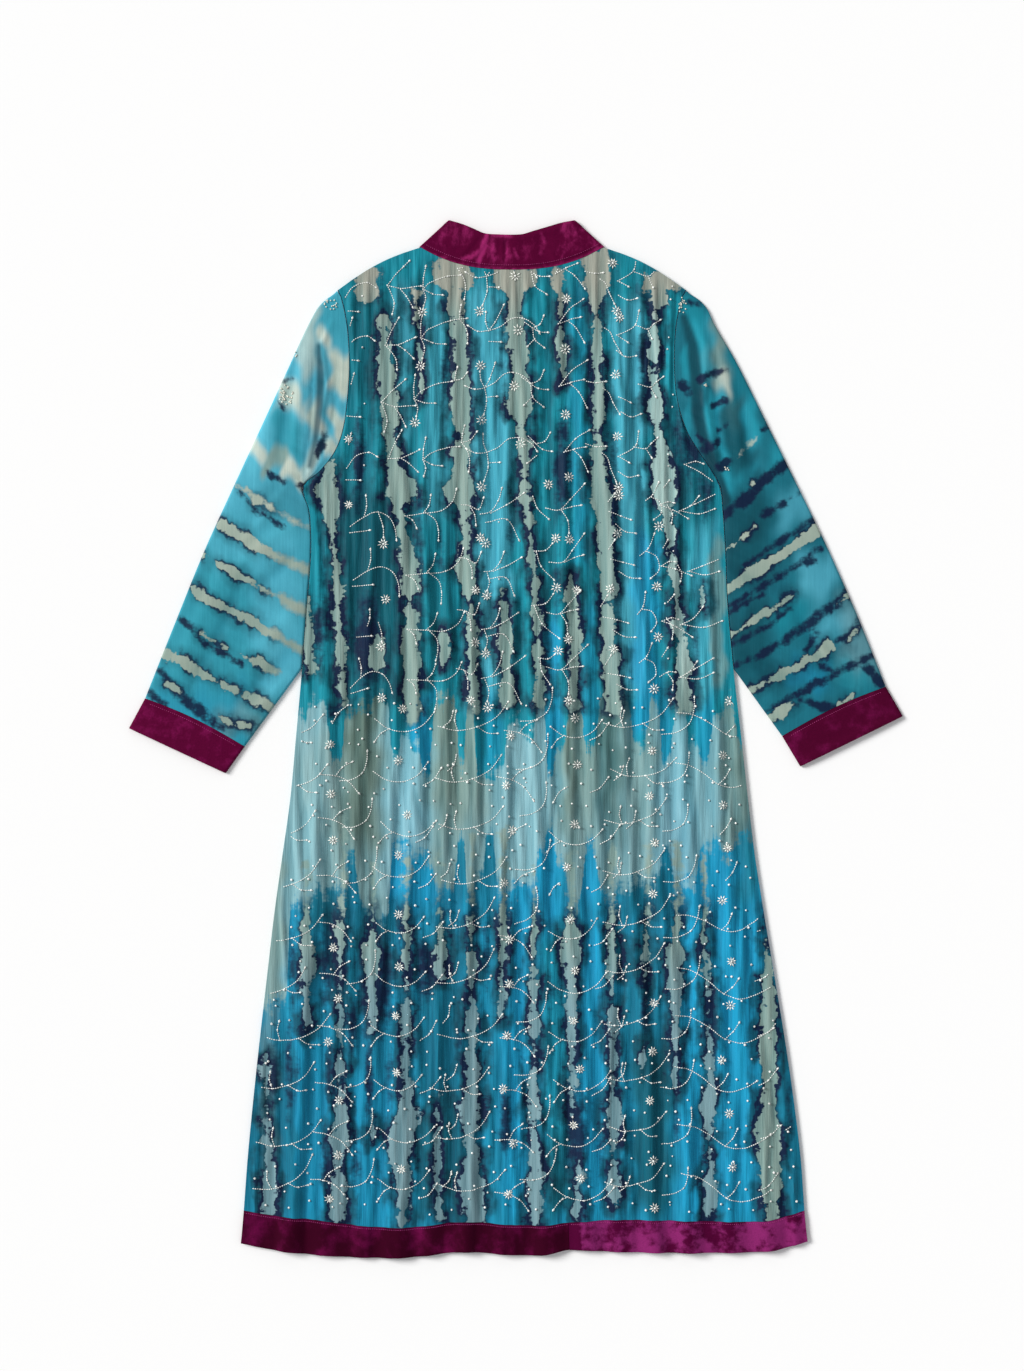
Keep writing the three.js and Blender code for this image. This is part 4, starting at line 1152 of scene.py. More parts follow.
left_sleeve_stripes = [
    [(238, 486, 1.5), (246, 490, 2), (256, 500, 5), (263, 501, 4), (275, 510, 1.5), (292, 521, 1.5),
     (317, 531, 2.5)],
    [(222, 524, 6), (240, 535, 5), (260, 548, 6), (285, 560, 4), (312, 573, 5.5)],
    [(205, 556, 2), (222, 567, 2), (233, 572, 6), (250, 582, 2), (272, 593, 2), (287, 601, 5.5),
     (306, 611, 6)],
    [(193, 588, 5), (208, 600, 5.5), (225, 607, 3.5), (240, 615, 5.5), (262, 628, 5),
     (285, 641, 3.5), (304, 651, 5.5)],
    [(203, 634, 4), (215, 642, 2), (240, 655, 0.5), (258, 662, 5.5), (277, 673, 4)],
    [(164, 652, 6), (185, 662, 5), (198, 672, 5), (215, 680, 3.5), (235, 690, 2.5), (250, 697, 5),
     (270, 706, 6)],
    [(168, 684, 2.5), (182, 693, 2.5)], [(220, 718, 2.5), (234, 724, 3.5), (250, 726, 4)],
]
left_sleeve_washes = [
    (100, 280, 360, 760, 40, "aqua", 0.42), (100, 280, 360, 520, 20, "aqua", 0.65),
    (140, 560, 264, 750, 16, "turquoise", 0.45), (308, 296, 350, 345, 9, "turquoise", 0.5),
    (274, 410, 300, 462, 7, "turquoise", 0.7), (262, 476, 306, 522, 8, "teal", 0.45),
    (240, 540, 300, 560, 8, "aqua", 0.5), (205, 540, 250, 560, 8, "aqua", 0.4),
    (250, 566, 305, 650, 12, "aqua", 0.5), (262, 640, 306, 700, 9, "aqua", 0.55),
    (150, 690, 250, 745, 12, "bright", 0.3), (298, 312, 318, 374, 5, "cream", 0.55),
    (277, 382, 301, 410, 4, "cream", 0.8), (299, 396, 311, 412, 4, "cream", 0.6),
    (309, 406, 323, 438, 4, "cream", 0.85), (319, 334, 332, 350, 3, "cream", 0.8),
    (329, 350, 352, 390, 3.5, "cream", 0.9), (331, 410, 352, 438, 3, "cream", 0.85),
    (323, 442, 343, 460, 3, "cream", 0.85), (304, 448, 318, 480, 4, "cream", 0.6),
    (246, 438, 264, 457, 3, "cream", 0.8), (262, 450, 286, 470, 3, "sage", 0.85),
    (283, 462, 306, 482, 3, "cream", 0.85), (218, 708, 262, 734, 7, "sage", 0.35),
]
right_sleeve_stripes = [
    [(738, 456, 1.5), (757, 438, 0.5)], [(750, 487, 2), (756, 480, 1.5)],
    [(722, 552, 1.5), (736, 543, 2), (748, 533, 3), (754, 527, 1.5)],
    [(724, 592, 5), (745, 577, 6), (765, 565, 6.5), (785, 552, 4.5), (800, 541, 6),
     (814, 531, 6.5)],
    [(728, 636, 3), (742, 628, 1.5), (752, 622, 2), (765, 613, 5), (778, 604, 2), (792, 596, 3)],
    [(836, 605, 1.5), (846, 596, 3), (853, 588, 2)], [(848, 641, 2), (858, 626, 1.5)],
    [(748, 691, 3.5), (765, 682, 2), (780, 675, 6), (795, 668, 3.5), (808, 660, 4.5),
     (818, 655, 6.5), (828, 648, 6.5), (834, 650, 3)],
    [(768, 719, 5), (780, 712, 6), (792, 703, 3)], [(838, 704, 3.5), (852, 696, 3)],
]
right_sleeve_washes = [
    (683, 300, 701, 382, 3, "turquoise", 0.8), (704, 322, 729, 378, 6, "sage", 0.6),
    (728, 340, 760, 400, 8, "turquoise", 0.4), (712, 376, 728, 399, 4, "cream", 0.65),
    (726, 398, 742, 426, 6, "olive", 0.45), (734, 468, 756, 486, 5, "lagoon", 0.8),
    (768, 438, 784, 462, 6, "lagoon", 0.8), (722, 410, 756, 478, 9, "deep", 0.6),
    (700, 492, 770, 580, 12, "deep", 0.9), (776, 492, 812, 528, 7, "aqua", 0.5),
    (720, 560, 744, 580, 6, "deep", 0.6), (796, 552, 836, 596, 8, "aqua", 0.6),
    (722, 598, 768, 672, 10, "deep", 0.85), (776, 600, 810, 632, 8, "turquoise", 0.7),
    (812, 612, 850, 640, 8, "aqua", 0.5), (840, 596, 880, 676, 9, "mist", 0.4),
    (740, 660, 800, 690, 8, "deep", 0.45), (790, 660, 830, 690, 6, "bright", 0.4),
    (800, 690, 850, 730, 8, "teal", 0.6), (840, 660, 870, 690, 7, "turquoise", 0.7),
    (690, 314, 707, 344, 4, "lagoon", 0.8), (698, 334, 715, 382, 5, "lagoon", 0.8),
    (703, 394, 722, 436, 5, "lagoon", 0.9), (716, 440, 734, 492, 5, "lagoon", 0.85),
    (744, 396, 760, 450, 5, "lagoon", 0.8), (724, 430, 744, 466, 5, "deep", 0.9),
    (722, 400, 740, 426, 5, "deep", 0.5), (684, 336, 692, 440, 3, "lagoon", 0.5),
    (702, 450, 716, 505, 4, "deep", 0.8),
]
# Lines of dark dye: (x, y, half width) along each
left_sleeve_navy = [
    [(279, 384, 1.5), (292, 379, 1)], [(278, 402, 1.5), (284, 409, 1.5)],
    [(300, 486, 3), (312, 491, 4)], [(325, 436, 3), (321, 448, 4), (318, 456, 3)],
    [(268, 473, 1.5), (284, 483, 3)], [(240, 491, 1), (258, 512, 2), (284, 526, 2)],
    [(176, 616, 2), (196, 631, 3), (206, 644, 3), (224, 653, 3), (242, 664, 2)],
    [(160, 671, 3), (176, 690, 5), (190, 703, 6), (206, 716, 5), (222, 727, 3)],
    [(147, 690, 3), (165, 705, 3)],
]
right_sleeve_navy = [
    [(690, 302, 3), (698, 306, 2)], [(700, 380, 3), (712, 374, 4), (725, 371, 2)],
    [(712, 406, 2), (723, 401, 4)], [(704, 449, 5), (716, 442, 4)], [(718, 431, 2), (726, 425, 2)],
    [(720, 466, 5), (728, 462, 3)], [(682, 384, 5), (688, 392, 4)], [(698, 436, 3), (706, 446, 3)],
    [(762, 430, 2), (770, 424, 3)],
    [(719, 520, 3), (736, 507, 4), (748, 497, 6), (760, 483, 5), (776, 471, 5), (790, 460, 4)],
    [(762, 517, 3), (772, 510, 4), (784, 503, 3)], [(788, 500, 1), (798, 494, 1)],
    [(733, 666, 2), (760, 655, 3), (785, 640, 4), (810, 622, 5), (830, 606, 4), (850, 590, 4)],
    [(762, 714, 2), (785, 701, 3), (810, 687, 4), (835, 673, 3), (860, 661, 4), (878, 652, 3)],
    [(745, 566, 2), (770, 548, 3), (795, 532, 3), (815, 520, 3)],
    [(728, 606, 2), (760, 588, 2), (790, 570, 3), (820, 548, 2)],
    [(740, 700, 1), (750, 692, 1), (762, 687, 2)],
    [(724, 648, 2), (746, 637, 3), (768, 626, 2), (790, 608, 2)],
    [(806, 650, 2), (812, 641, 3), (816, 634, 2)], [(836, 641, 2), (850, 636, 4), (858, 620, 2)],
    [(820, 665, 3), (834, 673, 2)], [(866, 668, 4), (880, 682, 5)],
    [(726, 614, 3), (742, 605, 3), (762, 594, 2)], [(800, 700, 2), (822, 706, 4), (842, 708, 4)],
    [(806, 564, 2), (814, 560, 3)],
]
# The same for the deep shade under the folds at the armholes
left_sleeve_shade = [[(319, 346, 2), (321, 375, 4), (320, 410, 4), (316, 440, 3), (310, 466, 2)]]
right_sleeve_shade = [
    [(684, 318, 3), (692, 345, 5), (696, 380, 6), (697, 410, 6), (703, 440, 5), (712, 466, 6),
     (722, 500, 8)],
]

# %% Make the sleeves
sleeve_stations = 150
sleeve_counts = (110, 8, 30)


def sleeve_arch(creases):
    """Height of a sleeve's upper layer: a low arch that is steep at its sides, creases and fine
    crinkles, all less near the folds and near the seams."""
    def arch(across, along, x, y):
        puff = sleeve_puff * smooth_step(puff_start, puff_full, along)
        small = 0.5 * crinkle_height(0.8 * y + 0.4 * x, x)
        soft = smooth_step(0, 0.06, along) * smooth_step(1.0, 0.95, along)
        lift = (crease_height(*to_chart(x, y), creases) + small) * soft
        return np.maximum(0.2 * mm, (puff + lift) * low_arch(across))
    return arch


def dye_sleeve(piece, creases, stripes, washes, lines, shades, plain_above, plain):
    """Gives a sleeve its plain ground, its slanting stripes, its dark lines, the painted shade
    under the folds at its armhole, and how deep its creases dip, for painted shade. The dark
    outlines only start below a level of the chart, and the stripes are softer above it and at the
    left sleeve's inner edge."""
    x, y = to_chart(*points_of(piece)[:, :2].T)
    ground = wash(np.broadcast_to(dye[plain], (len(x), 3)), x, y, washes)
    # Painted shade under the armhole folds, laid into the ground
    shaded = 0.85 * smooth_step(-3.5, 2.5, stripe_field(x, y, shades))
    give(piece, "ground", tinted(ground, "ink", shaded))
    give(piece, "pale", stripe_field(x, y, stripes))
    give(piece, "dark", smooth_step(-5, 3.5, stripe_field(x, y, lines)))
    below = smooth_step(plain_above, plain_above + 50, y)
    ends = smooth_step(258, 290, x) * smooth_step(400, 390, x)
    give(piece, "outline", 0.95 * below * (1 - 0.85 * ends))
    give(piece, "soft", 0.7 + 2.2 * (1 - below) + 3.3 * ends)
    cream = np.broadcast_to(dye["cream"], (len(x), 3))
    give(piece, "bare", tinted(cream, "sage", 0.35 + 0.5 * smooth_step(420, 620, y)))
    give(piece, "dyed", 0 * x - far_outside)
    # Painted shade: how deep the sleeve's creases dip, for the material to darken
    give(piece, "hollow", -0.6 * crease_height(x, y, creases) / mm)


sleeves = []
for side, sleeve, creases, *colours in (
    ("left", left_sleeve, left_sleeve_creases, left_sleeve_stripes, left_sleeve_washes,
     left_sleeve_navy, left_sleeve_shade, 470, "turquoise"),
    ("right", right_sleeve, right_sleeve_creases, right_sleeve_stripes, right_sleeve_washes,
     right_sleeve_navy, right_sleeve_shade, 440, "teal"),
):
    along = np.linspace(0, 1, sleeve_stations + 1)
    place = lambda across, at, sleeve=sleeve: sleeve_place(sleeve, across, at)
    arch, mirrored = sleeve_arch(creases), side == "right"
    made = flat_tube(f"sleeve_{side}_cloth", place, along, silk, arch, sleeve_counts, mirrored)
    dye_sleeve(made, creases, *colours)
    sleeves.append(finish_piece(made, f"sleeve_{side}", silk_of_sleeves))


# %% [markdown]
# ## Velvet
#
# Velvet is dark where you look along its pile and bright where the pile lies over, so crushed
# velvet has soft bright patches. Here noise picks the patches, and their brightness is painted
# sheen: a darker and a brighter magenta are mixed by it, and the same noise tilts the surface a
# little. Painted highlights stored on a piece brighten it further. Sheen gives the soft edge light.

# %% Crushed velvet
def crushed_velvet(name, deep, bright, patch, crushed_from, crushed_to):
    """Velvet whose pile lies over where the noise of the patches is high, painted brighter there as
    sheen: patch is one over the size of a patch (x, y, z), and crushed_from and crushed_to are
    where it begins and ends. Painted highlights stored on the piece as 'laid' are added."""
    made, shader = material(name)
    place = place_on(shader)
    big, fine = noise(place, patch, 4, 0.6), noise(place, (900, 900, 900), 2, 0.7)
    # Painted sheen: brighter magenta where the noise says the pile lies over
    laid = ramp(big + fine * 0.06, crushed_from, crushed_to)
    # Painted highlights stored as 'laid', with ragged edges
    given, ragged = stored(shader, "laid"), noise(place, (260, 200, 60), 3, 0.6)
    painted_highlights = ramp(given + swing(ragged, 0.5, 1.2), 0.2, 0.75) * given
    laid = laid + (painted_highlights + given.maths("MINIMUM", 0.0))
    specks = grey(ramp(fine, 0.3, 0.75, 0.85, 1.1))
    colour = blend(1.0, blend(laid, dyed(deep), dyed(bright)), specks, "MULTIPLY")
    join(shader.inputs["Base Color"], colour)
    bump(shader, big * 1.2 + fine * 0.15, 0.8, 0.8 * mm)
    gloss = {"Roughness": 0.85, "Specular IOR Level": 0.05, "Sheen Weight": 0.1}
    fill(shader, {**gloss, "Sheen Roughness": 0.3, "Sheen Tint": (0.9, 0.2, 0.5)})
    return made


velvet_collar = crushed_velvet("velvet_collar", "580230", "A02668", (70, 40, 60), 0.52, 0.85)
# The back hem's right length is brighter: painted sheen of its pile, which lies the other way
velvet_dark = crushed_velvet("velvet_hem_dark", "38001B", "680A42", (34, 30, 60), 0.48, 0.82)
velvet_light = crushed_velvet("velvet_hem_light", "4E0230", "882668", (46, 52, 60), 0.42, 0.62)
velvet_cuff_left = crushed_velvet("velvet_cuff_left", "5A0331", "7C124E", (90, 90, 60), 0.47, 0.85)
velvet_cuff_right = crushed_velvet("velvet_cuff_right", "4E0229", "74104A", (60, 60, 60), 0.5, 0.9)

# %% [markdown]
# ## The collar
#
# A band of velvet stands up from the neck. It runs from one front's opening round to the back
# and down to the other, and turns over at the two neck points. The top edge is a fold, so the
# band is fullest there, and a line of stitches holds it to the neck.

# %% Make the collar
collar_tip_half_width, collar_tip_level = 68 * mm, 569.7 * mm
front_collar_edge = (70 * mm, 2)
back_collar_line = np.array([
    # t, and how far the upper edge lies under the tips, in mm
    (-1, 0), (-0.8, 4), (-0.62, 9), (-0.45, 14), (-0.25, 15.3), (0.15, 15.3), (0.35, 11.5),
    (0.6, 6.5), (0.8, 2.5), (1, 0),
])
collar_creases = [
    # t at the free edge, slant to the seam, rise in mm
    (-0.36, -0.12, 0.9), (-0.46, -0.12, -0.6), (-0.08, 0.02, -0.8), (-0.14, 0.02, 0.5),
    (0.42, 0.1, 0.5), (-0.8, 0.1, 0.4),
]
collar_rows = 32


def collar_stations():
    """Places along the band: t across the neck from -1 to 1, and how far the band has turned
    over, from 0 on the fronts to 1 on the back."""
    opening = front_opening / 2 / neck_half_width
    half = np.linspace(opening, 1, 50)
    turn = np.linspace(0, 1, 16)[1:-1]
    across = np.linspace(-1, 1, 161)
    t = np.concatenate([-half, 0 * turn - 1, across, 0 * turn + 1, half[::-1]])
    turned = np.concatenate([0 * half, turn, 0 * across + 1, 1 - turn, 0 * half])
    return t, turned


def collar_skin(side):
    """One face of the band, w from 0 at its free edge to 1 at its seam. Its middle follows the
    neck, half a wall to each face, and a soft roll makes the back of the free edge fuller."""
    t, turned = collar_stations()
    angle = np.pi * turned
    low, high = velvet / 2, silk + layer_gap + velvet / 2
    outward, upward = np.sign(t) * np.sin(angle), -np.cos(angle)
    reach = (high - low) / 2 * outward
    on_back = turned > 0
    seams = [dip(neck_point_level, neck, t) for neck in (back_neck, front_neck)]
    seam = np.where(on_back, *seams)
    back_edge = collar_tip_level - read_table(*back_collar_line.T, t) * mm
    edge = np.where(on_back, back_edge, dip(collar_tip_level, front_collar_edge, t))
    w = np.linspace(0, 1, collar_rows + 1)[:, None]
    belly = np.sin(np.pi * w)
    roll = 1.6 * mm * bell(w, 0.08, 0.16) + 0.9 * mm * belly**0.7
    dent = 0.8 * mm * bell(w, 0.93, 0.03)
    wave = 0.5 * mm * np.sin(9 * t + 1.2) * belly + 0.35 * mm * np.sin(23 * t + 3 * w) * belly
    for middle, slant, rise in collar_creases:
        wave = wave + rise * mm * bell(t, middle + slant * w, 0.035) * belly**0.5
    off = side * (velvet / 2) + (roll - dent + wave) * smooth_step(0.55, 1, turned) * (side > 0)
    tips, neck_line = (neck_middle + half * t for half in (collar_tip_half_width, neck_half_width))
    z = mix(low, high, (1 - np.cos(angle)) / 2) + off * upward
    return stack(mix(tips, neck_line, w) + reach + off * outward, mix(edge, seam, w), z)


def paint_velvet_highlights(piece, lines, edge):
    """Painted highlights along lines, each with a strength, and how strongly one is painted at each
    place of the band's edge; they are stored as 'laid' for the velvet."""
    x, y = to_chart(*points_of(piece)[:, :2].T)
    laid = edge
    for strength, line in lines:
        laid = np.maximum(laid, strength * smooth_step(-5, 2.5, stripe_field(x, y, [line])))
    give(piece, "laid", laid)


# Painted highlights on the collar's folds and along its rim
collar_highlights = [
    # strength, and (x, y, half width) along the line
    (1.0, [(487, 235, 1), (484, 246, 2.5), (479, 262, 1.5)]),
    (0.8, [(463, 259, 1), (474, 256, 2.5), (484, 250, 1.5)]),
    (0.7, [(488, 234, 1), (500, 236, 2), (511, 237, 1)]),
    (0.5, [(493, 244, 1), (494, 256, 2.5), (492, 270, 1.5)]),
    (0.5, [(506, 242, 1.5), (507, 258, 2.5), (503, 268, 1)]),
    (0.7, [(514, 250, 0.5), (517, 257, 1.5)]), (0.6, [(541, 234, 1), (544, 243, 2), (540, 254, 1)]),
    (0.5, [(558, 247, 0.5), (572, 243, 1), (584, 234, 0.5)]),
    (0.55, [(576, 233, 1), (588, 228, 2), (598, 232, 1.5)]),
    (0.5, [(606, 244, 2), (594, 254, 3), (576, 262, 2)]), (0.4, [(440, 238, 1.5), (452, 232, 2)]),
    (0.45, [(470, 264, 1), (486, 268, 2), (500, 268, 1)]),
    (0.3, [(556, 252, 5), (580, 244, 9), (598, 240, 6)]),
]
collar = sheet_wall("collar_velvet", collar_skin(1), collar_skin(-1))
along_collar = np.repeat(np.linspace(0, 1, collar_rows + 1), len(collar_stations()[0]))
# The collar's painted highlights, and one along its seam edge
paint_velvet_highlights(collar, collar_highlights, np.tile(0.6 * smooth_step(0.95, 0.98, along_collar), 2))
finish_piece(collar, "collar", velvet_collar)

# %% [markdown]
# ## Hem band and cuffs
#
# The hem's velvet is a band folded over the raw edge, so its lower edge is a soft roll and its
# upper edge is pressed thin by the stitches. It was joined once at the back, and the pile of the
# right length lies the other way, so that one is brighter, with painted sheen; a painted highlight
# runs along the left length's seam. The cuffs are short flattened tubes.

# %% Make the hem bands
band_join, overlap_share = 0.579, 0.019
band_rows = 16


def band_place(across, w):
    """X and Y of a place of the hem band, w from 0 at its seam to 1 at its lower edge."""
    seam = read_table(hem_line[:, 0], hem_line[:, 1], across) * mm + seam_gap
    edge = read_table(hem_line[:, 0], hem_line[:, 2], across) * mm
    level = hem_level - mix(seam, edge, w)
    return body_x(across, level), level


def hem_band(name, node_name, shares, raised, cloth, seam_light=0.0, overlap=0.0):
    """A length of the band: it takes up the folds of the cloth it hangs from, and rolls over at
    its lower edge. seam_light is the strength of a painted highlight along the seam, and its pile
    is dark on the overlap at the join."""
    across, w = np.meshgrid(shares, np.linspace(0, 1, band_rows + 1))
    x, y = band_place(across, w)
    under, full = 0 * x, 0 * x
    if raised:
        crinkles = 0.25 * crinkle_height(x, 0.3 * y) * smooth_step(0, side_fade, inwards(across))
        under = fold_height(across, 1 + 0 * across) + crinkles
        roll = 0.9 * mm * bell(w, 0.93, 0.1) + 0.7 * mm * np.sin(np.pi * w) ** 0.7
        full = roll - 0.6 * mm * bell(w, 0.09, 0.03)
    doubled = smooth_step(overlap_share + 0.003, overlap_share - 0.001, across - band_join)
    full = full + 0.8 * mm * overlap * doubled
    made = sheet_wall(name, stack(x, y, under + velvet + full), stack(x, y, under))
    # Painted highlight along the seam, stored as 'laid'
    laid = seam_light * bell(w, 0.03, 0.06) - overlap * doubled
    give(made, "laid", np.tile(laid.ravel(), 2))
    return finish_piece(made, node_name, cloth)


half_gap = seam_gap / 2 / (body_sections[-1, 2] - body_sections[-1, 1])
left_shares = np.linspace(0, band_join - half_gap, 181)
right_shares = np.linspace(band_join + half_gap, 1, 131)
hem_left = hem_band(
    "hem_back_left_velvet", "hem_back_left", left_shares, True, velvet_dark, seam_light=0.6
)
hem_right = hem_band(
    "hem_back_right_velvet", "hem_back_right", right_shares, True, velvet_light, overlap=1.0
)
hem_fronts = [
    hem_band(
        f"hem_front_{side}_velvet", f"hem_front_{side}", front_shares(side), False, velvet_dark
    )
    for side in ("left", "right")
]

# %% Make the cuffs
cuff_stations, cuff_counts = 20, (60, 8, 20)


def cuff_arch(across, w, x, y):
    """Height of a cuff's upper layer: a low arch, pressed in at the seam's stitches and fuller
    where the velvet folds over at the hem."""
    roll = 0.9 * mm * bell(w, 0.92, 0.1) - 0.7 * mm * bell(w, 0.1, 0.035)
    return np.maximum(0.1 * mm, (cuff_puff + roll) * low_arch(across))


cuffs = []
for side, sleeve, cloth in (
    ("left", left_sleeve, velvet_cuff_left), ("right", right_sleeve, velvet_cuff_right),
):
    depth = np.hypot(*(np.array(sleeve["hem_outer"]) - np.array(sleeve["outer"][-1][1:])))
    stations = np.linspace(seam_gap / mm / depth, 1, cuff_stations)
    place = lambda across, at, sleeve=sleeve: cuff_place(sleeve, across, at)
    name, mirrored = f"cuff_{side}_velvet", side == "right"
    cuff = flat_tube(name, place, stations, velvet, cuff_arch, cuff_counts, mirrored)
    give(cuff, "laid", np.zeros(len(cuff.data.vertices)))
    cuffs.append(finish_piece(cuff, f"cuff_{side}", cloth))


# %% [markdown]
# ## Embroidery
#
# Silver thread runs over the back in rows of vines: a stem swings from node to node, and short
# sprigs end in a bead. Small starry flowers sit between them, and beads are scattered over the
# skirt. Each stitch is a grain of thread, twelve faces, laid along its stem on the cloth. A curve
# with a bevel would be smooth, but real stems show every stitch.

# %% Grains of thread and beads
def cloth_top(x, y):
    """Height of the back's upper face at (x, y)."""
    across, level = body_share(x, y)
    return fold_height(across, down_body(level)) + back_lift(across, level) + silk


def on_back(x, y):
    """True where a place is on the back and clear of its seams."""
    across, level = body_share(x, y)
    bx, by = body_place(across, level)
    found = np.hypot(bx - x, by - y) < 1 * mm
    half_length = (shoulder_level - hem_level) / 2
    within = np.abs(level - (shoulder_level + hem_level) / 2) < half_length - 3 * mm
    return found & within & (inwards(across) > 0.012)


def grains(starts, ends, width):
    """Spindles between starts and ends: a ring of six points round the middle of each, and a
    point at each end. Returns their points and triangles."""
    along = ends - starts
    length = np.linalg.norm(along, axis=1, keepdims=True)
    along = along / length
    side = np.cross(up, along)
    side = side / np.linalg.norm(side, axis=1, keepdims=True)
    over = np.cross(along, side)
    turn = (np.arange(6) * np.pi / 3)[None, :, None]
    outwards = np.cos(turn) * side[:, None] + np.sin(turn) * over[:, None]
    ring = ((starts + ends) / 2)[:, None] + width / 2 * outwards
    points = np.concatenate([starts[:, None], ends[:, None], ring], axis=1)
    k, after = np.arange(6) + 2, (np.arange(6) + 1) % 6 + 2
    faces = np.concatenate([np.stack([k, after, 0 * k + 1], 1), np.stack([after, k, 0 * k], 1)])
    corners = faces[None] + 8 * np.arange(len(points))[:, None, None]
    return points.reshape(-1, 3), corners.reshape(-1, 3)


def bead_shapes(centres, radius):
    """Small balls: rings of eight points at three latitudes, and two poles."""
    turn = np.arange(8) * np.pi / 4
    tilt = np.array([-np.pi / 4, 0, np.pi / 4])[:, None]
    rings = stack(np.cos(tilt) * np.cos(turn), np.cos(tilt) * np.sin(turn), np.sin(tilt))
    ball = np.concatenate([rings.reshape(-1, 3), [[0, 0, -1], [0, 0, 1]]])
    k, after = np.arange(8), (np.arange(8) + 1) % 8
    rows = [np.stack([k + r, after + r, after + r + 8], 1) for r in (0, 8)]
    rows += [np.stack([k + r, after + r + 8, k + r + 8], 1) for r in (0, 8)]
    rows += [np.stack([after, k, 0 * k + 24], 1), np.stack([k + 16, after + 16, 0 * k + 25], 1)]
    faces = np.concatenate(rows)
    points = centres[:, None] + np.asarray(radius).reshape(-1, 1, 1) * ball[None]
    corners = faces[None] + 26 * np.arange(len(centres))[:, None, None]
    return points.reshape(-1, 3), corners.reshape(-1, 3)


def smooth_path(points, step):
    """Places one step apart along a smooth curve through the points, in squares of the chart."""
    points = np.asarray(points, float)
    lengths = run_along(points)
    fine = np.linspace(0, lengths[-1], 60)
    curve = np.stack([read_table(lengths, points[:, k], fine) for k in (0, 1)], 1)
    run = run_along(curve)
    at = np.arange(0, run[-1], step)
    return np.stack([np.interp(at, run, curve[:, k]) for k in (0, 1)], 1)


# %% [markdown]
# The vines are laid out as an embroiderer repeats a motif: a few sprigs, each a handful of stems,
# are set along a row, and the row is repeated down the cloth. Close forked sprigs cover the
# shoulders and chest, and long flat sweeps the skirt. A little seeded jitter keeps them from
# looking printed.

